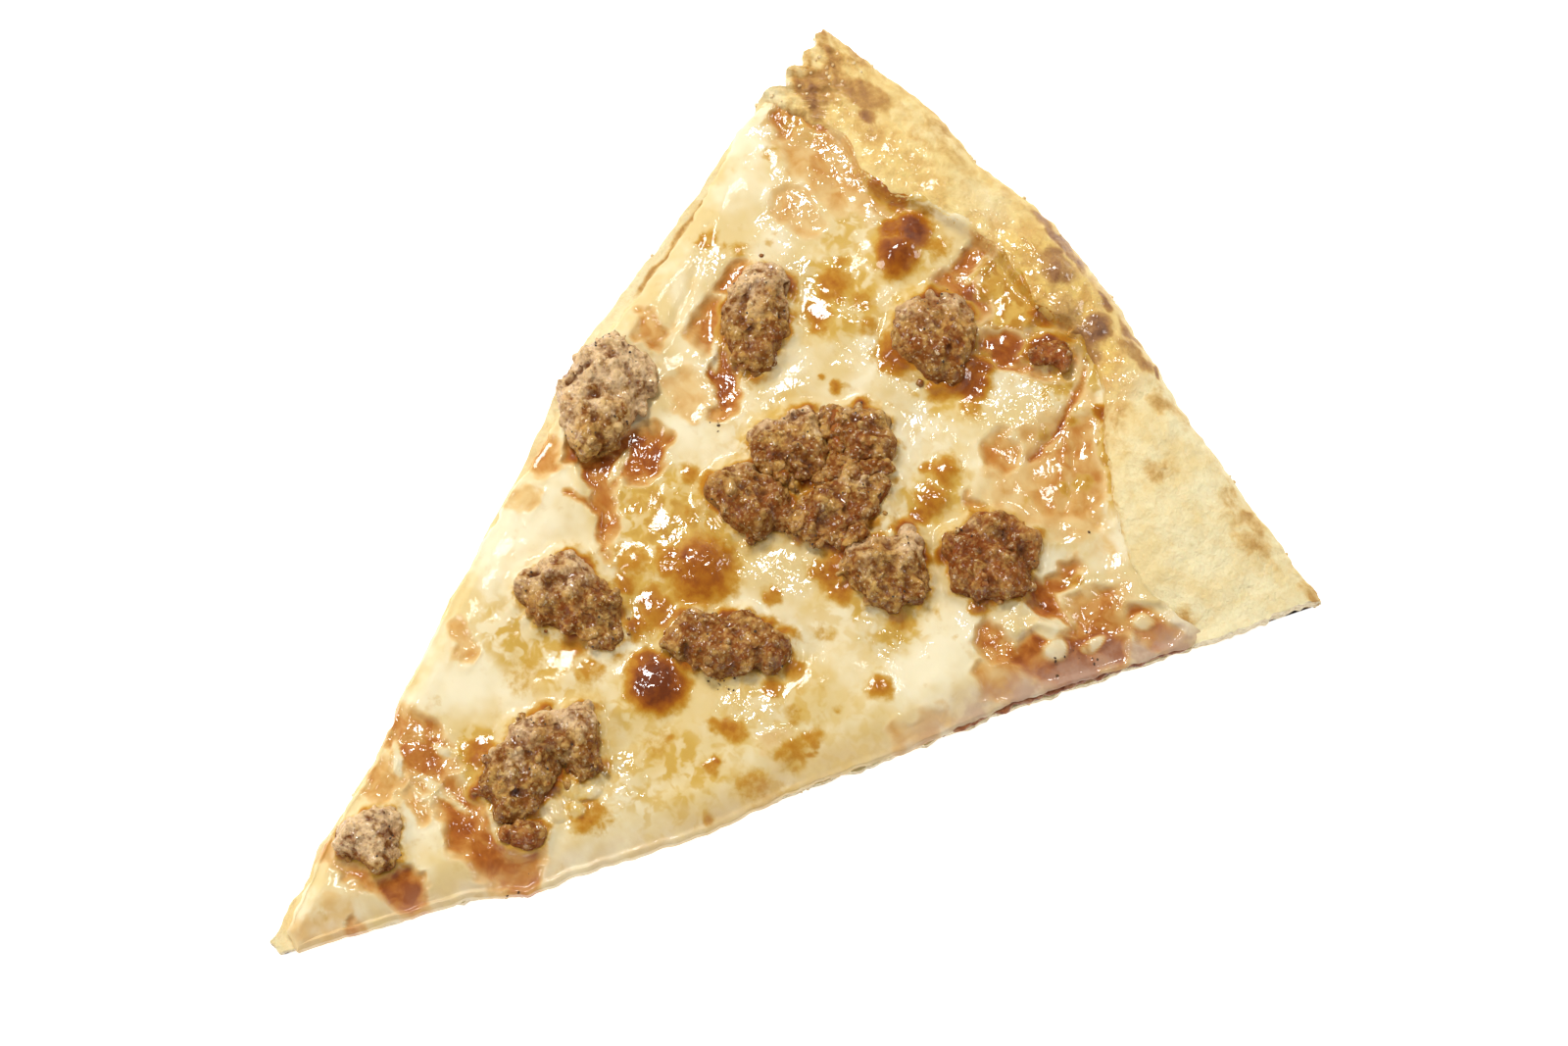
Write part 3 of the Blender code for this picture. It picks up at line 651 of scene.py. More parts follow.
def between_crumbles(x, s, crumbles):
    """How much a place is squeezed between the crumbles of the middle heap, from 0 to 1."""
    wide, tall = x[::3, ::3], s[::3, ::3]
    total = np.zeros_like(wide)
    for number in HEAP:
        away = crumble_distance(wide, tall, [crumbles[number - 1]])
        total = total + np.exp(-(away / 2.0) ** 2)
    rows, columns = (np.linspace(0, n - 1, m) for n, m in zip(total.shape, x.shape))
    tall = np.array([np.interp(rows, np.arange(len(column)), column) for column in total.T]).T
    total = np.array([np.interp(columns, np.arange(len(row)), row) for row in tall])
    return smooth(1.15, 1.6, total)


def from_line(x, s, line):
    """Distance from each place to a line of places, a little unsteady."""
    px, ps = wander(x, s, 4.0, 0.6, 930)
    nearest = np.full(np.shape(x), 1e3)
    for (x0, s0), (x1, s1) in zip(line, line[1:]):
        dx, ds = x1 - x0, s1 - s0
        t = np.clip(((px - x0) * dx + (ps - s0) * ds) / (dx * dx + ds * ds), 0, 1)
        nearest = np.minimum(nearest, np.hypot(px - x0 - t * dx, ps - s0 - t * ds))
    return nearest


def shreds_height(x, s):
    """Rounded height of the shreds that haven't melted into the rest."""
    total = np.zeros_like(x)
    px, ps = wander(x, s, 3.0, 0.5, 816)
    for across, from_tip, half_length, half_width, turn, height in CHEESE_SHREDS:
        c, d = math.cos(math.radians(turn)), math.sin(math.radians(turn))
        u = (c * (px - across) + d * (ps - from_tip)) / half_length
        v = (-d * (px - across) + c * (ps - from_tip)) / half_width
        total = np.maximum(total, height * np.sqrt(np.clip(1 - (u * u + v * v) / 1.4, 0, 1)))
    return total


def make_cheese(crumbles):
    """The melted cheese: one wet, browned skin with a rounded border over the sauce."""
    rows, columns = 330, 266
    shares = crowded(columns, 0.12, 0.25)
    along = np.linspace(0, 1, rows)
    start = 9.8

    def reach(angle):
        """The cheese climbs the rim's soft left part and meets the lip on the right."""
        degrees = np.degrees(angle)
        climb = smooth(2.5, -1.0, degrees) * (4.5 + 2.0 * grain(degrees * 4, degrees * 0, 9.0, 700))
        least = 1.6 + 0.9 * grain(degrees * 4, degrees * 0, 7.0, 705)
        climb = np.maximum(climb * smooth(-19.5, -16.0, degrees), least)
        return lip_at(angle) + 0.2 + climb

    def spread(angle):
        return start + (reach(angle) - start) * along[:, None] * np.ones_like(angle[:1])

    def left(radius):
        bare = np.interp(radius, *CHEESE_LEFT) + 0.5 * rough(radius, radius * 0, 6.0, 710, 3)
        return crust_cut(radius, -1) + (bare - 0.2) / radius

    def right(radius):
        bare = np.interp(radius, *CHEESE_RIGHT) + 0.5 * rough(radius, radius * 0, 6.0, 720, 3)
        over = 0.5 + 0.8 * smooth(132, 90, radius)
        return crust_cut(radius, 1) - (bare - over) / radius

    angle, radius = sector(spread, shares, left, right)
    x, s = polar(angle, radius)

    read = np.vectorize(lambda a, b: height_at("cheese", a, b) or np.nan)
    coarse = read(x[::3, ::3], s[::3, ::3])
    inner = np.isnan(coarse)
    coarse[inner] = np.nanmedian(coarse)
    ri = np.linspace(0, coarse.shape[0] - 1, rows)
    ci = np.linspace(0, coarse.shape[1] - 1, columns)
    half = np.array([np.interp(ri, np.arange(coarse.shape[0]), column) for column in coarse.T]).T
    height = np.array([np.interp(ci, np.arange(coarse.shape[1]), row) for row in half])
    height = grid_blurred(height, 5)

    thin = patches(x, s, THIN_PATCHES, 0.45, 1.8, 730)
    spots = patches(x, s, round_patches(BROWN_SPOTS), 0.62, 0.9, 740)
    oil = patches(x, s, OILY_PATCHES, 0.8, 2.0, 750)
    wet = patches(x, s, WET_PATCHES, 0.5, 1.5, 760)
    away = crumble_distance(x, s, crumbles)
    packed = between_crumbles(x, s, crumbles)
    lip_gap = reach(angle) - radius
    left_gap = (angle - left(radius)) * radius
    right_gap = (right(radius) - angle) * radius
    border = np.minimum(np.minimum(left_gap, right_gap), radius - start)

    height = height + 0.34 * rough(x, s, 10.0, 770, 1) + 0.09 * rough(x, s, 4.2, 780, 1)
    thick_edge = np.exp(-((thin - 0.22) / 0.12) ** 2)
    height = height - 1.25 * smooth(0.15, 0.8, thin) + 0.25 * thick_edge
    height = height + swells(x, s, [(a, b, r, r, 0, h) for a, b, r, h in CHEESE_DOMES], 0.6, 790)
    height = height + 0.30 * smooth(0.2, 0.7, spots)
    folds = rough(x + 0.4 * s, s, 3.8, 800, 1)
    height = height + wet * (0.17 * folds + 0.02 * rough(x, s, 1.6, 810, 1))
    shreds = patches(x, s, [row[:5] + (1.0,) for row in CHEESE_SHREDS], 0.3, 0.5, 815)
    height = height + shreds_height(x, s)
    thin, spots = thin * (1 - 0.85 * shreds), spots * (1 - 0.8 * shreds)
    height = height + 1.2 * np.exp(-(away / 1.1) ** 2) - 0.2 * np.exp(-((away - 3.0) / 1.5) ** 2)
    height = height + 2.6 * packed
    droop = smooth(-3.5, 9.0, right_gap) * 0.55 + 0.45
    round_side = np.sqrt(smooth(-0.4, 3.0, border))
    lowest = CHEESE_BOTTOM + 0.5
    height = lowest + (height - lowest) * round_side * droop
    over_rim = bread_height(angle, radius) - 0.14 + 0.26 * smooth(0.0, 1.8, lip_gap)
    over_rim = over_rim + 0.45 * smooth(1.8, 7.0, lip_gap)
    soft_part = np.maximum(smooth(1.5, -2.0, np.degrees(angle)), smooth(3.2, 1.6, lip_gap))
    height = np.where(soft_part > 0, np.maximum(height, over_rim * soft_part), height)
    for line, width, depth, _ in CREASES:
        height = height - depth * np.exp(-(from_line(x, s, line) / width) ** 2)
    top = np.stack([x, s, height], -1)

    order = border_order(*x.shape)
    side = border_sides(*x.shape)
    edge = top.reshape(-1, 3)[order]
    out, run = outward(edge), run_length(edge)
    hang = 0.5 + 0.5 * rough(run, run * 0, 14.0, 830, 2) + 0.25 * rough(run, run * 0, 3.0, 840, 2)
    from_tip = edge[:, 1]
    dark_cut = smooth(138, 150, from_tip) * smooth(196, 186, from_tip)
    least_hang = 0.45 + 0.35 * smooth(125, 95, from_tip)
    hang = np.clip(hang, least_hang, 1.0) * np.where(side == 1, 1 - 0.85 * dark_cut, 0.25)
    floor = CHEESE_BOTTOM - 2.9 * np.where(side == 2, 0, hang)
    shown_sauce = smooth(142, 148, from_tip) * smooth(184, 178, from_tip)
    on_bread = BASE_TOP - 0.2 + (CHEESE_BOTTOM - 0.3 - BASE_TOP) * shown_sauce
    floor = np.where((side == 3) | (side == 0), on_bread, floor)
    rings = []
    levels = np.linspace(0, 1, 8)[1:]
    flat_side = 1 - 0.8 * smooth(132, 100, from_tip) * (side == 1)
    for level in levels:
        z = edge[:, 2] + (floor - edge[:, 2]) * level
        belly = (0.55 + 0.35 * rough(run, z * 2, 3.0, 850, 2)) * math.sin(math.pi * level * 0.85)
        belly = np.where(side == 2, 0.0, belly + 0.25 * level * hang) * flat_side
        rings.append(np.column_stack([edge[:, :2] + out * belly[:, None], z]))
    rings.append(np.column_stack([edge[:, :2] - out * 1.0, np.minimum(floor, CHEESE_BOTTOM)]))
    rings.append(np.column_stack([edge[:, :2] - out * 1.4, np.full(len(edge), CHEESE_BOTTOM - 0.1)]))

    stained = smooth(-0.1, 0.7, rough(x, s, 8.0, 860, 2))
    # Painted shade: a narrow dark ring at each crumble's foot and a faint darkening out to about 3 mm round
    # it; the wider ring where stained is high is a golden-brown oil stain.
    ring = 0.26 * np.exp(-(away / 0.8) ** 2) + 0.50 * stained * np.exp(-(away / 2.4) ** 2)
    toast = np.maximum(1.1 * spots, ring) + 0.10 * np.exp(-(away / 3.0) ** 2)
    toast = np.maximum(toast, 0.80 * packed)
    near_rim = smooth(8.0, 1.0, lip_gap) * smooth(4.0, -2.0, np.degrees(angle))
    toast = toast + near_rim * (0.16 + 0.20 * rough(x, s, 6.0, 870, 3))
    speckle = smooth(0.5, 0.9, rough(x, s, 4.2, 880, 2)) * smooth(-0.2, 0.5, rough(x, s, 20.0, 890, 2))
    toast = np.clip(toast + 0.24 * speckle, 0, 1)
    for line, width, _, shown in CREASES:
        thin = np.maximum(thin, shown * np.exp(-(from_line(x, s, line) / (width * 1.1)) ** 2))
    thin_right = smooth(12.0, 2.0, lip_gap) * smooth(2.0, 5.0, np.degrees(angle))
    thin = np.clip(np.maximum(thin, 0.30 * thin_right) + 0.10 * rough(x, s, 4.0, 900, 3), 0, 1)
    thin = thin * (1 - smooth(0.02, 0.06, angle) * smooth(4.5, 0.5, lip_gap))
    # Painted shade: the rounded slope down the right cut is darkened, more where the sauce shows at the cut;
    # it is kept as the side attribute.
    right_cut_shade = smooth(9.0, 0.5, right_gap) * (0.35 + 0.65 * smooth(118, 150, s))
    pick = [toast, thin, oil, wet, right_cut_shade, packed, np.exp(-(away / 1.3) ** 2)]
    names = ["toast", "thin", "oil", "wet", "side", "packed", "beside"]
    values = {}
    for key, field in zip(names, pick):
        around = field.reshape(-1)[order]
        values[key] = (field, [around] * len(rings))
    return slab("melted_cheese", top, rings, values)


# ---------------------------------------------------------------- Geometry Nodes
def new_tree(name, sizes):
    """A geometry tree with a mesh in and out, a material and named sizes."""
    tree = bpy.data.node_groups.new(name, "GeometryNodeTree")
    face = tree.interface
    face.new_socket("Geometry", in_out="INPUT", socket_type="NodeSocketGeometry")
    face.new_socket("Geometry", in_out="OUTPUT", socket_type="NodeSocketGeometry")
    face.new_socket("Material", in_out="INPUT", socket_type="NodeSocketMaterial")
    for size_name, kind in sizes:
        face.new_socket(size_name, in_out="INPUT", socket_type=kind)
    return tree, tree.nodes.new("NodeGroupInput"), tree.nodes.new("NodeGroupOutput")


def add(tree, kind, inputs=None, **settings):
    """A node with its settings; an input is a value, or another node's output to link."""
    made = tree.nodes.new(kind)
    for key, value in settings.items():
        setattr(made, key, value)
    for key, value in (inputs or {}).items():
        socket = made.inputs[key]
        if isinstance(value, bpy.types.NodeSocket):
            tree.links.new(value, socket)
        else:
            socket.default_value = value
    return made


def finish_tree(tree, given, end, geometry):
    realized = add(tree, "GeometryNodeRealizeInstances", {"Geometry": geometry})
    painted = add(tree, "GeometryNodeSetMaterial",
                  {"Geometry": realized.outputs[0], "Material": given.outputs["Material"]})
    tree.links.new(painted.outputs[0], end.inputs["Geometry"])
    return tree


FLOAT, WHOLE = "NodeSocketFloat", "NodeSocketInt"


def add_grains(tree, given, radius, density, least, most, seed_step):
    """Rounded grains half sunk in the lump, turned and stretched at random."""
    seed = add(tree, "ShaderNodeMath", {0: given.outputs["Seed"], 1: seed_step}).outputs[0]
    points = add(tree, "GeometryNodeDistributePointsOnFaces",
                 {"Mesh": given.outputs["Geometry"], "Density": given.outputs[density],
                  "Seed": seed})
    ball = add(tree, "GeometryNodeMeshIcoSphere",
               {"Radius": given.outputs[radius], "Subdivisions": 2})
    turn = add(tree, "FunctionNodeRandomValue", {"Seed": seed}, data_type="FLOAT_VECTOR")
    turn.inputs["Max"].default_value = (6.28, 6.28, 6.28)
    stretch = add(tree, "FunctionNodeRandomValue", {"Seed": seed}, data_type="FLOAT_VECTOR")
    stretch.inputs["Min"].default_value = least
    stretch.inputs["Max"].default_value = most
    return add(tree, "GeometryNodeInstanceOnPoints",
               {"Points": points.outputs["Points"], "Instance": ball.outputs["Mesh"],
                "Rotation": turn.outputs["Value"], "Scale": stretch.outputs["Value"]})


def ground_meat_tree():
    """Chunks and fine grains of meat of uneven size, half sunk all over a lump."""
    tree, given, end = new_tree("ground meat", [
        ("Grain radius", FLOAT), ("Grains per area", FLOAT), ("Chunk radius", FLOAT),
        ("Chunks per area", FLOAT), ("Seed", WHOLE)])
    grains = add_grains(tree, given, "Grain radius", "Grains per area",
                        (0.4, 0.4, 0.4), (1.5, 1.1, 1.0), 0)
    chunks = add_grains(tree, given, "Chunk radius", "Chunks per area",
                        (0.5, 0.45, 0.4), (1.3, 1.0, 0.8), 7)
    joined = add(tree, "GeometryNodeJoinGeometry")
    for part in (given.outputs["Geometry"], grains.outputs[0], chunks.outputs[0]):
        tree.links.new(part, joined.inputs[0])
    return finish_tree(tree, given, end, joined.outputs[0])


def scatter_tree():
    """Small chips or crumbs of uneven size, scattered where the strewn attribute is high."""
    tree, given, end = new_tree("scattered bits", [("Bit size", FLOAT), ("Bits per area", FLOAT),
                                                   ("Flatness", FLOAT), ("Seed", WHOLE)])
    where = add(tree, "GeometryNodeInputNamedAttribute", data_type="FLOAT")
    where.inputs["Name"].default_value = "strewn"
    density = add(tree, "ShaderNodeMath", {0: given.outputs["Bits per area"],
                                           1: where.outputs["Attribute"]}, operation="MULTIPLY")
    points = add(tree, "GeometryNodeDistributePointsOnFaces",
                 {"Mesh": given.outputs["Geometry"], "Density": density.outputs[0],
                  "Seed": given.outputs["Seed"]})
    bit = add(tree, "GeometryNodeMeshIcoSphere",
              {"Radius": given.outputs["Bit size"], "Subdivisions": 1})
    uneven = add(tree, "ShaderNodeTexNoise", {"Scale": 900.0, "Detail": 1.0})
    bent = add(tree, "GeometryNodeSetPosition", {"Geometry": bit.outputs["Mesh"]})
    centred = add(tree, "ShaderNodeVectorMath", {0: uneven.outputs["Color"], 1: (0.5, 0.5, 0.5)},
                  operation="SUBTRACT")
    pushed = add(tree, "ShaderNodeVectorMath", {0: centred.outputs[0]}, operation="SCALE")
    tree.links.new(given.outputs["Bit size"], pushed.inputs["Scale"])
    tree.links.new(pushed.outputs[0], bent.inputs["Offset"])
    turn = add(tree, "FunctionNodeRandomValue", {"Seed": given.outputs["Seed"]},
               data_type="FLOAT_VECTOR")
    turn.inputs["Max"].default_value = (0.9, 0.9, 6.28)
    width = add(tree, "FunctionNodeRandomValue", {"Seed": given.outputs["Seed"]}, data_type="FLOAT")
    width.inputs["Min"].default_value = 0.45
    width.inputs["Max"].default_value = 1.5
    flat = add(tree, "ShaderNodeMath", {0: width.outputs[1], 1: given.outputs["Flatness"]},
               operation="MULTIPLY")
    shape = add(tree, "ShaderNodeCombineXYZ",
                {"X": width.outputs[1], "Y": width.outputs[1], "Z": flat.outputs[0]})
    bits = add(tree, "GeometryNodeInstanceOnPoints",
               {"Points": points.outputs["Points"], "Instance": bent.outputs[0],
                "Rotation": turn.outputs["Value"], "Scale": shape.outputs[0]})
    return finish_tree(tree, given, end, bits.outputs[0])


def set_inputs(modifier, tree, values):
    for item in tree.interface.items_tree:
        if item.in_out == "INPUT" and item.name in values:
            modifier[item.identifier] = values[item.name]


def plain_mesh(piece):
    """Applies the piece's modifiers and leaves it a plain mesh."""
    bpy.context.view_layer.update()
    evaluated = piece.evaluated_get(bpy.context.evaluated_depsgraph_get())
    made = bpy.data.meshes.new_from_object(evaluated)
    piece.modifiers.clear()
    made.name = piece.name
    piece.data = made
    return piece


# ---------------------------------------------------------------- the sausage
MEAT_GRAIN = 0.36
MEAT_CHUNK = 1.4
MEAT_VOXEL = 0.22


def copy_of_node(node, name):
    """The CAD node's mesh as a new object, with its loose triangles merged."""
    joiner = bmesh.new()
    joiner.from_mesh(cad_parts[node].data)
    bmesh.ops.remove_doubles(joiner, verts=joiner.verts[:], dist=0.00001)
    mesh = bpy.data.meshes.new(name)
    joiner.to_mesh(mesh)
    joiner.free()
    made = bpy.data.objects.new(name, mesh)
    bpy.context.scene.collection.objects.link(made)
    return made


def even_neighbours(mesh, points, times):
    """Points after each has moved to the middle of its neighbours a few times."""
    edges = np.empty(len(mesh.edges) * 2, dtype=np.int64)
    mesh.edges.foreach_get("vertices", edges)
    a, b = edges.reshape(-1, 2).T
    count = np.bincount(a, minlength=len(points)) + np.bincount(b, minlength=len(points))
    for _ in range(times):
        total = np.zeros_like(points)
        for axis in range(3):
            total[:, axis] = np.bincount(a, points[b, axis], len(points))
            total[:, axis] += np.bincount(b, points[a, axis], len(points))
        points = total / np.maximum(count, 1)[:, None]
    return points


def make_crumble(number, tree, material):
    """One crumble of ground sausage: grains grown together over the lump's true form."""
    node = f"sausage_{number:02d}"
    crumble = copy_of_node(node, f"crumble_{number:02d}")
    pale, red, saucy, swelling = CRUMBLE_COOKING[number - 1]
    swell = crumble.modifiers.new("swell", "DISPLACE")
    swell.strength = swelling * MM
    swell.mid_level = 0.0
    grains = crumble.modifiers.new("grains", "NODES")
    grains.node_group = tree
    set_inputs(grains, tree, {"Material": material, "Grain radius": MEAT_GRAIN * MM,
                              "Grains per area": 1.3 / MM ** 2, "Chunk radius": MEAT_CHUNK * MM,
                              "Chunks per area": 0.035 / MM ** 2, "Seed": 40 + number})
    fuse = crumble.modifiers.new("grow together", "REMESH")
    fuse.mode = "VOXEL"
    fuse.voxel_size = MEAT_VOXEL * MM
    plain_mesh(crumble)
    mesh = crumble.data
    count = len(mesh.vertices)
    points = np.empty(count * 3)
    normals = np.empty(count * 3)
    mesh.vertices.foreach_get("co", points)
    mesh.vertex_normals.foreach_get("vector", normals)
    points, normals = points.reshape(-1, 3) / MM, normals.reshape(-1, 3)
    x, y, z = points.T
    lumpy = 1.15 * rough(x + 0.6 * z, y - 0.7 * z, 4.4, 1000 + number, 2)
    fine = 0.08 * rough(x - z, y + z, 0.8, 1030 + number, 2)
    points = points + normals * (lumpy + fine - 0.15)[:, None]
    points = even_neighbours(mesh, points, 2)
    near = even_neighbours(mesh, points, 9)
    far = even_neighbours(mesh, near, 50)
    pit = np.einsum("ij,ij->i", near - points, normals)
    dip = np.einsum("ij,ij->i", far - points, normals)
    mesh.vertices.foreach_set("co", (points * MM).reshape(-1))
    low, high = z.min(), z.max()
    mottled = 0.5 + 0.5 * rough(x, y, 6.0, 1100 + number, 3)
    # Painted light: across grows away from the key lamp, so pale below is lighter on the crumble's lit side
    # and darker on its shaded side.
    across = (x - x.mean()) / (x.max() - x.min()) - 0.5 * (y - y.mean()) / (y.max() - y.min())
    values = {
        "hollow": np.clip(pit / 0.30, -1, 1),
        "dip": np.clip(dip / 0.9, -1, 1),
        "height": (z - low) / (high - low),
        "pale": np.clip(pale + 0.5 * (mottled - 0.5) - 0.85 * across, 0, 1),
        "red": np.clip(red + 0.9 * (0.5 - mottled), 0, 1),
        "saucy": np.full(count, saucy),
    }
    for key, data in values.items():
        mesh.attributes.new(key, "FLOAT", "POINT").data.foreach_set("value", data.astype(np.float32))
    mesh.materials.clear()
    mesh.materials.append(material)
    mesh.shade_smooth()
    return crumble


def scatter(name, hosts, strewn, tree, material, fused=0.0, **sizes):
    """Bits strewn over copies of the host pieces, as one piece of plain mesh."""
    joiner = bmesh.new()
    for host in hosts:
        joiner.from_mesh(host.data)
    mesh = bpy.data.meshes.new(name)
    joiner.to_mesh(mesh)
    joiner.free()
    count = len(mesh.vertices)
    points, normals = np.empty(count * 3), np.empty(count * 3)
    mesh.vertices.foreach_get("co", points)
    mesh.vertex_normals.foreach_get("vector", normals)
    points = points.reshape(-1, 3) / MM - (0, TIP_Y, 0)
    data = strewn(points, normals.reshape(-1, 3)).astype(np.float32)
    mesh.attributes.new("strewn", "FLOAT", "POINT").data.foreach_set("value", data)
    bits = bpy.data.objects.new(name, mesh)
    bpy.context.scene.collection.objects.link(bits)
    modifier = bits.modifiers.new("scatter", "NODES")
    modifier.node_group = tree
    set_inputs(modifier, tree, {"Material": material, **sizes})
    if fused:
        grown = bits.modifiers.new("grow together", "REMESH")
        grown.mode = "VOXEL"
        grown.voxel_size = fused * MM
    plain_mesh(bits)
    for key in bits.data.attributes.keys():
        if key == "strewn":
            bits.data.attributes.remove(bits.data.attributes[key])
    bits.data.materials.clear()
    bits.data.materials.append(material)
    bits.data.shade_smooth()
    return bits


def attribute_values(piece, key):
    values = np.empty(len(piece.data.vertices))
    piece.data.attributes[key].data.foreach_get("value", values)
    return values


def make_mince(cheese, meat, tree):
    """Loose grains of sausage in the gaps of the heap and round the crumbles' feet."""
    def strewn(points, normals):
        x, s = points[:, 0], points[:, 1]
        patchy = smooth(-0.1, 0.7, rough(x, s, 5.0, 960, 2))
        near = 0.06 * attribute_values(cheese, "beside") * patchy
        return (near + attribute_values(cheese, "packed")) * (normals[:, 2] > 0.3)

    mince = scatter("mince_grains", [cheese], strewn, tree, meat, fused=0.20,
                    **{"Bit size": 0.85 * MM, "Bits per area": 1.3 / MM ** 2, "Flatness": 0.8,
                       "Seed": 61})
    count = len(mince.data.vertices)
    for key, value in (("height", 0.6), ("pale", 0.45), ("red", 0.5), ("saucy", 0.1)):
        mince.data.attributes.new(key, "FLOAT", "POINT").data.foreach_set("value", [value] * count)
    return mince


def make_pepper(crumbles, tree):
    """Cracked pepper in the sausage."""
    def strewn(points, normals):
        patchy = smooth(-0.4, 0.6, rough(points[:, 0], points[:, 1], 6.0, 970, 2))
        return patchy * (normals[:, 2] > 0.1)

    pepper = bits_look("cracked pepper", (0.10, 0.055, 0.025), (0.025, 0.015, 0.010), 0.5)
    return scatter("pepper_flecks", crumbles, strewn, tree, pepper,
                   **{"Bit size": 0.24 * MM, "Bits per area": 0.085 / MM ** 2, "Flatness": 0.7,
                      "Seed": 62})


def make_herbs(cheese, tree):
    """Dark scorched flecks of herb stuck in the cheese."""
    def strewn(points, normals):
        x, s = points[:, 0], points[:, 1]
        return patches(x, s, HERB_PATCHES, 0.6, 0.8, 980) * (normals[:, 2] > 0.3)

    herb = bits_look("scorched herb", (0.13, 0.060, 0.015), (0.040, 0.018, 0.006), 0.5)
    return scatter("herb_flecks", [cheese], strewn, tree, herb,
                   **{"Bit size": 0.30 * MM, "Bits per area": 0.30 / MM ** 2, "Flatness": 0.4,
                      "Seed": 63})


def make_crumbs(bread, tree):
    """Crumbs of bread along the cut sides and the torn end of the rim."""
    def strewn(points, normals):
        side = (np.abs(normals[:, 2]) < 0.55) * (points[:, 2] > 0.6)
        patchy = smooth(0.0, 0.6, rough(points[:, 0], points[:, 1], 8.0, 990, 2))
        torn_end = np.exp(-((points[:, 0] + 76) / 5) ** 2 - ((points[:, 1] - 207) / 10) ** 2)
        return side * patchy * 0.5 + torn_end * (points[:, 2] > 1.0)

    crumb = bits_look("bread crumbs", (0.88, 0.72, 0.42), (0.66, 0.42, 0.16), 0.65)
    return scatter("bread_crumbs", [bread], strewn, tree, crumb,
                   **{"Bit size": 0.42 * MM, "Bits per area": 0.16 / MM ** 2, "Flatness": 0.7,
                      "Seed": 64})


# ---------------------------------------------------------------- materials
def new_look(name):
    material = bpy.data.materials.new(name)
    material.use_nodes = True
    tree = material.node_tree
    return material, tree, tree.nodes["Principled BSDF"]


def place_on(tree):
    return add(tree, "ShaderNodeTexCoord").outputs["Object"]


def noise(tree, size, detail=3.0, roughness=0.55, distortion=0.0):
    """Noise whose lumps are about size millimetres across."""
    made = add(tree, "ShaderNodeTexNoise",
               {"Vector": place_on(tree), "Scale": 1 / (size * MM), "Detail": detail,
                "Roughness": roughness, "Distortion": distortion})
    return made.outputs["Fac"]


def cells(tree, size, feature="F1", output="Distance"):
    made = add(tree, "ShaderNodeTexVoronoi", {"Vector": place_on(tree), "Scale": 1 / (size * MM)},
               feature=feature)
    return made.outputs[output]


def value_of(tree, name):
    return add(tree, "ShaderNodeAttribute", attribute_name=name).outputs["Fac"]


def maths(tree, operation, *terms, clamp=False):
    made = add(tree, "ShaderNodeMath", operation=operation, use_clamp=clamp)
    for socket, term in zip(made.inputs, terms):
        if isinstance(term, bpy.types.NodeSocket):
            tree.links.new(term, socket)
        else:
            socket.default_value = term
    return made.outputs[0]


def between(tree, value, low, high, to_low=0.0, to_high=1.0):
    made = add(tree, "ShaderNodeMapRange",
               {"Value": value, "From Min": low, "From Max": high, "To Min": to_low,
                "To Max": to_high}, interpolation_type="SMOOTHSTEP")
    return made.outputs["Result"]


def blend_colours(tree, share, first, second, way="MIX"):
    made = add(tree, "ShaderNodeMix", data_type="RGBA", blend_type=way)
    for socket, term in zip((made.inputs[0], made.inputs[6], made.inputs[7]),
                            (share, first, second)):
        if isinstance(term, bpy.types.NodeSocket):
            tree.links.new(term, socket)
        elif isinstance(term, tuple):
            socket.default_value = (*term, 1.0)
        else:
            socket.default_value = term
    return made.outputs[2]


def ramp(tree, value, *stops):
    """Colours at shares of the value, with even blends between."""
    made = add(tree, "ShaderNodeValToRGB", {"Fac": value})
    steps = made.color_ramp.elements
    while len(steps) < len(stops):
        steps.new(0.5)
    for step, (position, colour) in zip(steps, stops):
        step.position = position
        step.color = (*colour, 1.0)
    return made.outputs["Color"]


def bump(tree, height, distance, strength=1.0, under=None):
    made = add(tree, "ShaderNodeBump", {"Height": height, "Distance": distance * MM,
                                        "Strength": strength})
    if under is not None:
        tree.links.new(under, made.inputs["Normal"])
    return made.outputs["Normal"]


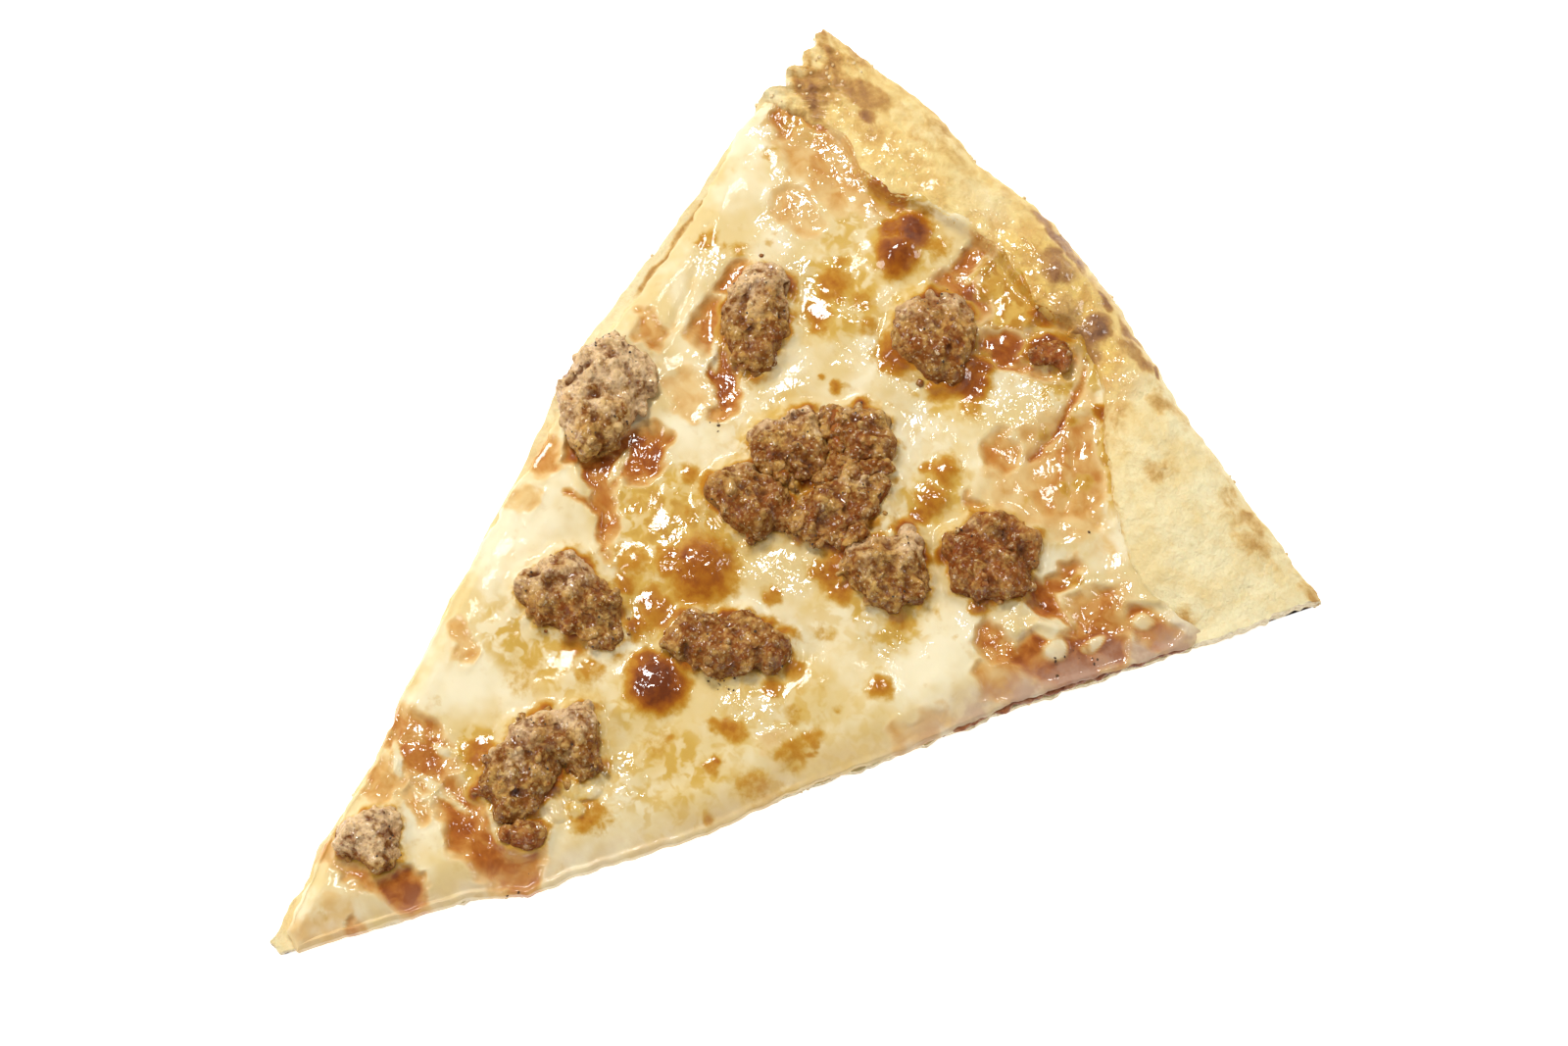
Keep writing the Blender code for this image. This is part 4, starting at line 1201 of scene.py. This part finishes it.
def cheese_look():
    """Melted mozzarella: cream, oily gold, red where thin, browned spots, wet crinkles, painted shade round
    the crumbles and on the right cut.
    """
    look, tree, shader = new_look("melted cheese")
    toast, thin = value_of(tree, "toast"), value_of(tree, "thin")
    oil, wet = value_of(tree, "oil"), value_of(tree, "wet")
    side = value_of(tree, "side")
    broad, fine = noise(tree, 14, 3.0), noise(tree, 1.8, 3.0, 0.55)
    tiny = noise(tree, 0.5, 2.0, 0.6)

    cream = blend_colours(tree, between(tree, broad, 0.36, 0.64), (0.87, 0.765, 0.51),
                          (0.74, 0.56, 0.250))
    flecks = between(tree, noise(tree, 3.4, 3.0, 0.6), 0.58, 0.74)
    cream = blend_colours(tree, maths(tree, "MULTIPLY", flecks, 0.28), cream, (0.62, 0.39, 0.10))
    freckles = between(tree, noise(tree, 2.8, 2.0, 0.5, 0.4), 0.40, 0.60, 0.48, 1.15)
    oil_share = maths(tree, "MULTIPLY", oil, freckles, clamp=True)
    oil_colour = ramp(tree, oil_share, (0.0, (0.78, 0.58, 0.23)), (0.4, (0.64, 0.40, 0.080)),
                      (1.0, (0.46, 0.21, 0.018)))
    body = blend_colours(tree, between(tree, oil_share, 0.0, 0.45), cream, oil_colour)

    stringy = noise(tree, 4.2, 3.0, 0.50, 0.5)
    thin_rough = maths(tree, "MULTIPLY", thin, between(tree, stringy, 0.32, 0.68, 0.70, 1.14))
    thin_colour = ramp(tree, thin_rough, (0.08, (0.82, 0.64, 0.34)), (0.28, (0.75, 0.51, 0.21)),
                       (0.46, (0.65, 0.36, 0.105)), (0.64, (0.54, 0.22, 0.040)),
                       (0.82, (0.43, 0.130, 0.016)), (1.0, (0.30, 0.072, 0.008)))
    body = blend_colours(tree, between(tree, thin_rough, 0.06, 0.30), body, thin_colour)

    # The toast attribute also holds painted shade: the dark ring round the crumbles' feet.
    brown = maths(tree, "ADD", toast, between(tree, fine, 0.3, 0.7, -0.09, 0.08))
    brown_colour = ramp(tree, brown, (0.10, (0.70, 0.46, 0.12)), (0.30, (0.60, 0.345, 0.055)),
                        (0.50, (0.50, 0.210, 0.016)), (0.68, (0.38, 0.115, 0.007)),
                        (0.85, (0.27, 0.066, 0.006)), (1.0, (0.16, 0.034, 0.005)))
    body = blend_colours(tree, between(tree, brown, 0.08, 0.42), body, brown_colour)

    # Painted shade on the rounded right cut: a mottled blend to grey pink-brown.
    side_shade_mottle = between(tree, noise(tree, 5, 3.0, 0.6), 0.35, 0.62, 0.35, 0.9)
    body = blend_colours(tree, maths(tree, "MULTIPLY", side, side_shade_mottle), body, (0.50, 0.31, 0.21))
    tree.links.new(body, shader.inputs["Base Color"])

    tree.links.new(between(tree, fine, 0.3, 0.75, 0.42, 0.58), shader.inputs["Roughness"])
    shader.inputs["Subsurface Weight"].default_value = 0.12
    shader.inputs["Subsurface Radius"].default_value = (1.0, 0.7, 0.4)
    shader.inputs["Subsurface Scale"].default_value = 0.0010
    shader.inputs["Specular IOR Level"].default_value = 0.08
    shader.inputs["Coat IOR"].default_value = 1.65
    film = maths(tree, "ADD", maths(tree, "MULTIPLY", wet, 0.95), maths(tree, "MULTIPLY", oil, 0.30))
    film = maths(tree, "ADD", film, maths(tree, "MULTIPLY", thin, 0.40))
    film = maths(tree, "ADD", film, maths(tree, "MULTIPLY", toast, 0.40))
    film = maths(tree, "ADD", film, 0.10, clamp=True)
    tree.links.new(film, shader.inputs["Coat Weight"])
    shader.inputs["Coat Roughness"].default_value = 0.07

    ripples = noise(tree, 1.9, 1.0, 0.5, 0.8)
    soft = bump(tree, noise(tree, 5.0, 1.0), 0.8, 0.20)
    skin = bump(tree, fine, 0.20, between(tree, wet, 0.0, 0.6, 0.15, 0.6), soft)
    film_skin = bump(tree, ripples, 0.30, between(tree, wet, 0.05, 0.8, 0.25, 1.0))
    tree.links.new(bump(tree, tiny, 0.08, 0.35, skin), shader.inputs["Normal"])
    tree.links.new(film_skin, shader.inputs["Coat Normal"])
    return look


def bread_look():
    """Baked dough: pale cream, golden and blistered, with open crumb and a speckled foot."""
    look, tree, shader = new_look("baked bread")
    toast, golden = value_of(tree, "toast"), value_of(tree, "golden")
    crumb, underside = value_of(tree, "crumb"), value_of(tree, "underside")
    broad, fine = noise(tree, 10, 4.0, 0.6), noise(tree, 1.3, 4.0, 0.65)
    tiny = noise(tree, 0.45, 3.0, 0.6)

    flour = blend_colours(tree, between(tree, broad, 0.38, 0.66), (0.90, 0.78, 0.46),
                          (0.84, 0.66, 0.32))
    soft = noise(tree, 3.4, 3.0, 0.55, 0.5)
    gold = blend_colours(tree, between(tree, soft, 0.35, 0.68), (0.86, 0.65, 0.25), (0.74, 0.46, 0.11))
    body = blend_colours(tree, maths(tree, "MULTIPLY", golden, 0.85), flour, gold)
    glaze = value_of(tree, "glaze")
    amber = blend_colours(tree, between(tree, soft, 0.35, 0.65), (0.83, 0.54, 0.125), (0.62, 0.30, 0.038))
    body = blend_colours(tree, maths(tree, "MULTIPLY", glaze, 0.9), body, amber)
    tree.links.new(maths(tree, "MULTIPLY", glaze, 0.9), shader.inputs["Coat Weight"])
    shader.inputs["Coat Roughness"].default_value = 0.08
    speck = between(tree, noise(tree, 1.0, 4.0, 0.7), 0.48, 0.68)
    body = blend_colours(tree, maths(tree, "MULTIPLY", speck, 0.30), body, (0.76, 0.55, 0.22))
    cloudy = between(tree, noise(tree, 5.0, 3.0, 0.6), 0.50, 0.68, 0.0, 0.24)
    body = blend_colours(tree, cloudy, body, (0.78, 0.56, 0.22))
    brown = maths(tree, "ADD", toast, between(tree, soft, 0.3, 0.7, -0.10, 0.10))
    brown = maths(tree, "ADD", brown, between(tree, fine, 0.3, 0.7, -0.05, 0.05))
    brown_colour = ramp(tree, brown, (0.10, (0.80, 0.56, 0.20)), (0.34, (0.67, 0.41, 0.115)),
                        (0.56, (0.50, 0.26, 0.065)), (0.78, (0.33, 0.145, 0.045)),
                        (1.0, (0.14, 0.055, 0.027)))
    body = blend_colours(tree, between(tree, brown, 0.05, 0.50), body, brown_colour)

    inside = ramp(tree, noise(tree, 1.1, 4.0, 0.7), (0.3, (0.55, 0.38, 0.20)), (0.5, (0.84, 0.70, 0.45)),
                  (0.75, (0.92, 0.82, 0.58)))
    body = blend_colours(tree, crumb, body, inside)

    char = noise(tree, 7, 5.0, 0.65, 0.6)
    baked = ramp(tree, char, (0.30, (0.86, 0.66, 0.36)), (0.48, (0.72, 0.45, 0.18)),
                 (0.60, (0.45, 0.22, 0.08)), (0.74, (0.16, 0.075, 0.035)))
    body = blend_colours(tree, underside, body, baked)
    tree.links.new(body, shader.inputs["Base Color"])

    tree.links.new(between(tree, fine, 0.3, 0.75, 0.50, 0.80), shader.inputs["Roughness"])
    shader.inputs["Subsurface Weight"].default_value = 0.10
    shader.inputs["Subsurface Radius"].default_value = (1.0, 0.6, 0.3)
    shader.inputs["Subsurface Scale"].default_value = 0.0012
    shader.inputs["Specular IOR Level"].default_value = 0.35

    crust_skin = bump(tree, fine, 0.60, 0.9)
    pores = bump(tree, cells(tree, 1.1), 0.5, maths(tree, "MULTIPLY", crumb, 0.9), crust_skin)
    tree.links.new(bump(tree, tiny, 0.12, 0.6, pores), shader.inputs["Normal"])
    tree.links.new(bump(tree, noise(tree, 1.9, 1.0), 0.3), shader.inputs["Coat Normal"])
    return look


def sauce_look():
    """Cooked tomato sauce: dark red-brown with pulp, wet."""
    look, tree, shader = new_look("cooked sauce")
    pulp = noise(tree, 1.8, 4.0, 0.65)
    tree.links.new(ramp(tree, pulp, (0.30, (0.16, 0.035, 0.012)), (0.5, (0.34, 0.11, 0.035)),
                        (0.7, (0.52, 0.26, 0.12))), shader.inputs["Base Color"])
    tree.links.new(between(tree, pulp, 0.3, 0.7, 0.25, 0.45), shader.inputs["Roughness"])
    shader.inputs["Coat Weight"].default_value = 0.2
    tree.links.new(bump(tree, pulp, 0.5, 0.8), shader.inputs["Normal"])
    return look


def sausage_look():
    """Cooked ground sausage: olive tan grains, moist; dark red-brown painted shade in hollows and at the
    foot, painted light and glints.
    """
    look, tree, shader = new_look("ground sausage")
    hollow, dip, height = (value_of(tree, name) for name in ("hollow", "dip", "height"))
    # pale holds each crumble's own paleness plus a painted light gradient, lighter on the side facing the
    # key lamp.
    pale, red, saucy = (value_of(tree, name) for name in ("pale", "red", "saucy"))
    grains = cells(tree, 0.62, output="Color")
    fine, tiny = noise(tree, 0.8, 3.0, 0.6), noise(tree, 0.30, 2.0, 0.6)
    patch = noise(tree, 3.6, 3.0, 0.6)
    each = add(tree, "ShaderNodeSeparateColor", {"Color": grains})

    dark = blend_colours(tree, red, (0.212, 0.076, 0.008), (0.225, 0.050, 0.006))
    light = blend_colours(tree, red, (0.58, 0.350, 0.092), (0.53, 0.245, 0.055))
    light = blend_colours(tree, between(tree, pale, 0.50, 0.92), light, (0.80, 0.555, 0.300))
    share = maths(tree, "ADD", pale, between(tree, patch, 0.40, 0.60, -0.52, 0.42))
    lumps = noise(tree, 1.5, 2.0, 0.5)
    share = maths(tree, "ADD", share, between(tree, lumps, 0.36, 0.64, -0.36, 0.30))
    # Painted shade: the share drops in dips, and below, hollows and dips blend to a dark red-brown shade
    # colour.
    share = maths(tree, "SUBTRACT", share, maths(tree, "MULTIPLY", dip, 0.45), clamp=True)
    body = blend_colours(tree, share, dark, light)
    body = blend_colours(tree, maths(tree, "MULTIPLY", between(tree, each.outputs["Red"], 0.5, 1.0), 0.36),
                         body, (0.66, 0.42, 0.13))
    body = blend_colours(tree, maths(tree, "MULTIPLY", between(tree, each.outputs["Green"], 0.5, 1.0), 0.40),
                         body, (0.20, 0.062, 0.010))
    painted_hollow_shade = maths(tree, "ADD", between(tree, hollow, 0.05, 0.8, 0.0, 0.46),
                 between(tree, dip, 0.10, 0.7, 0.0, 0.58), clamp=True)
    body = blend_colours(tree, painted_hollow_shade, body, (0.120, 0.038, 0.008))
    # Painted light: the tops of the grains are lightened.
    painted_lit_tops = between(tree, hollow, -0.10, -0.8)
    body = blend_colours(tree, maths(tree, "MULTIPLY", painted_lit_tops, 0.22), body, (0.70, 0.47, 0.17))
    # Painted shade: darker towards the crumble's foot, where it meets the cheese.
    foot = between(tree, height, 0.55, 0.10)
    body = blend_colours(tree, maths(tree, "MULTIPLY", foot, 0.70), body, (0.19, 0.060, 0.012))
    # Painted highlights: small pale flecks on the bumps stand in for glints.
    painted_glint_flecks = between(tree, noise(tree, 0.70, 1.0, 0.5), 0.63, 0.69)
    painted_glint_flecks = maths(tree, "MULTIPLY", painted_glint_flecks, between(tree, hollow, 0.2, -0.3, 0.1, 0.65))
    body = blend_colours(tree, painted_glint_flecks, body, (0.88, 0.72, 0.44))
    sauce_share = maths(tree, "MULTIPLY", saucy, between(tree, noise(tree, 4, 3.0), 0.38, 0.58))
    body = blend_colours(tree, sauce_share, body, (0.32, 0.075, 0.015))
    tree.links.new(body, shader.inputs["Base Color"])

    tree.links.new(between(tree, fine, 0.35, 0.7, 0.45, 0.62), shader.inputs["Roughness"])
    shader.inputs["Specular IOR Level"].default_value = 0.08
    moist = between(tree, noise(tree, 1.6, 2.0, 0.5), 0.44, 0.62, 0.0, 0.75)
    tree.links.new(moist, shader.inputs["Coat Weight"])
    shader.inputs["Coat Roughness"].default_value = 0.12
    shader.inputs["Coat IOR"].default_value = 1.6
    shader.inputs["Subsurface Weight"].default_value = 0.05
    shader.inputs["Subsurface Radius"].default_value = (1.0, 0.4, 0.2)
    shader.inputs["Subsurface Scale"].default_value = 0.0006
    meat = bump(tree, fine, 0.35, 1.0)
    tree.links.new(bump(tree, tiny, 0.16, 1.0, meat), shader.inputs["Normal"])
    return look


def bits_look(name, light, dark, roughness):
    """A simple look for small bits: two shades, mottled."""
    look, tree, shader = new_look(name)
    shade = noise(tree, 0.9, 3.0, 0.6)
    tree.links.new(blend_colours(tree, between(tree, shade, 0.35, 0.65), dark, light),
                   shader.inputs["Base Color"])
    tree.links.new(between(tree, shade, 0.3, 0.7, roughness - 0.08, roughness + 0.1),
                   shader.inputs["Roughness"])
    tree.links.new(bump(tree, shade, 0.2, 0.5), shader.inputs["Normal"])
    return look


def floor_look():
    """A plain white table, slightly lit so that it stays white."""
    look, tree, shader = new_look("white table")
    shade = noise(tree, 90, 2.0)
    tree.links.new(between(tree, shade, 0.3, 0.7, 0.6, 0.7), shader.inputs["Roughness"])
    shader.inputs["Base Color"].default_value = (0.93, 0.93, 0.92, 1.0)
    shader.inputs["Emission Color"].default_value = (1.0, 1.0, 1.0, 1.0)
    shader.inputs["Emission Strength"].default_value = 0.75
    return look


# ---------------------------------------------------------------- the setting
CAMERA_AZIMUTH = 50.4        # degrees round from -Y towards +X
CAMERA_ELEVATION = 75.0
CAMERA_DISTANCE = 0.785
CAMERA_AIM = Vector((-0.0036, 0.0228, 0.0))
SKY_BAND = (0.40, 0.85)      # heights between which the bright walls give way to the ceiling
SKY_WALLS = 0.50
SKY_CEILING = 0.07
# Lamps: name, degrees round from the camera, elevation, size, power
LAMPS = [("key", 206, 59, 0.27, 7.6), ("left", -80, 36, 0.30, 2.8), ("right", 100, 34, 0.30, 1.5),
         ("far", 150, 66, 0.13, 1.2), ("near", 262, 62, 0.12, 0.9)]
LAMP_DISTANCE = 1.1


def direction(azimuth, elevation):
    a, e = math.radians(azimuth), math.radians(elevation)
    return Vector((math.sin(a) * math.cos(e), -math.cos(a) * math.cos(e), math.sin(e)))


def make_camera():
    data = bpy.data.cameras.new("camera")
    data.lens = 85.0
    data.sensor_width = 36.0
    data.clip_start = 0.01
    camera = bpy.data.objects.new("camera", data)
    back = direction(CAMERA_AZIMUTH, CAMERA_ELEVATION)
    camera.location = CAMERA_AIM + back * CAMERA_DISTANCE
    camera.rotation_euler = (-back).to_track_quat("-Z", "Y").to_euler()
    bpy.context.scene.collection.objects.link(camera)
    bpy.context.scene.camera = camera


def make_light(name, azimuth, elevation, distance, size, power):
    data = bpy.data.lights.new(name, "AREA")
    data.shape = "DISK"
    data.size = size
    data.energy = power
    light = bpy.data.objects.new(name, data)
    towards = direction(azimuth, elevation)
    light.location = towards * distance
    light.rotation_euler = (-towards).to_track_quat("-Z", "Y").to_euler()
    bpy.context.scene.collection.objects.link(light)


def make_setting():
    """A white table between bright soft walls, with one lamp high on the far side."""
    floor_maker = bmesh.new()
    bmesh.ops.create_grid(floor_maker, x_segments=8, y_segments=8, size=2.0)
    mesh = bpy.data.meshes.new("table")
    floor_maker.to_mesh(mesh)
    floor_maker.free()
    mesh.transform(Matrix.Translation((0, 0, -0.2 * MM)))
    mesh.materials.append(floor_look())
    table = bpy.data.objects.new("table", mesh)
    bpy.context.scene.collection.objects.link(table)

    world = bpy.data.worlds.new("studio")
    world.use_nodes = True
    tree = world.node_tree
    sky = tree.nodes["Background"]
    up = add(tree, "ShaderNodeSeparateXYZ", {0: add(tree, "ShaderNodeTexCoord").outputs["Generated"]})
    glow = between(tree, up.outputs["Z"], *SKY_BAND, SKY_WALLS, SKY_CEILING)
    tree.links.new(glow, sky.inputs["Strength"])
    sky.inputs["Color"].default_value = (1.0, 1.0, 1.0, 1.0)
    bpy.context.scene.world = world
    for name, around, elevation, size, power in LAMPS:
        make_light(name, CAMERA_AZIMUTH + around, elevation, LAMP_DISTANCE, size, power)
    bpy.context.scene.view_settings.view_transform = "Standard"


# ---------------------------------------------------------------- putting it together
def main():
    bread = make_bread()
    bread.data.materials.append(bread_look())
    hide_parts("crust")

    sauce = make_sauce()
    sauce.data.materials.append(sauce_look())
    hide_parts("sauce")

    meat = sausage_look()
    meat_tree = ground_meat_tree()
    crumbles = [make_crumble(number, meat_tree, meat)
                for number in range(1, len(CRUMBLE_COOKING) + 1)]
    for number, crumble in enumerate(crumbles, start=1):
        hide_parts(f"sausage_{number:02d}")

    cheese = make_cheese(crumbles)
    cheese.data.materials.append(cheese_look())
    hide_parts("cheese")

    bits_tree = scatter_tree()
    mince = make_mince(cheese, meat, bits_tree)
    pepper = make_pepper(crumbles, bits_tree)
    herbs = make_herbs(cheese, bits_tree)
    crumbs = make_crumbs(bread, bits_tree)

    pieces = [bread, sauce, cheese, *crumbles, mince, pepper, herbs, crumbs]
    for piece in pieces:
        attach(piece, "root")

    make_setting()
    make_camera()


main()
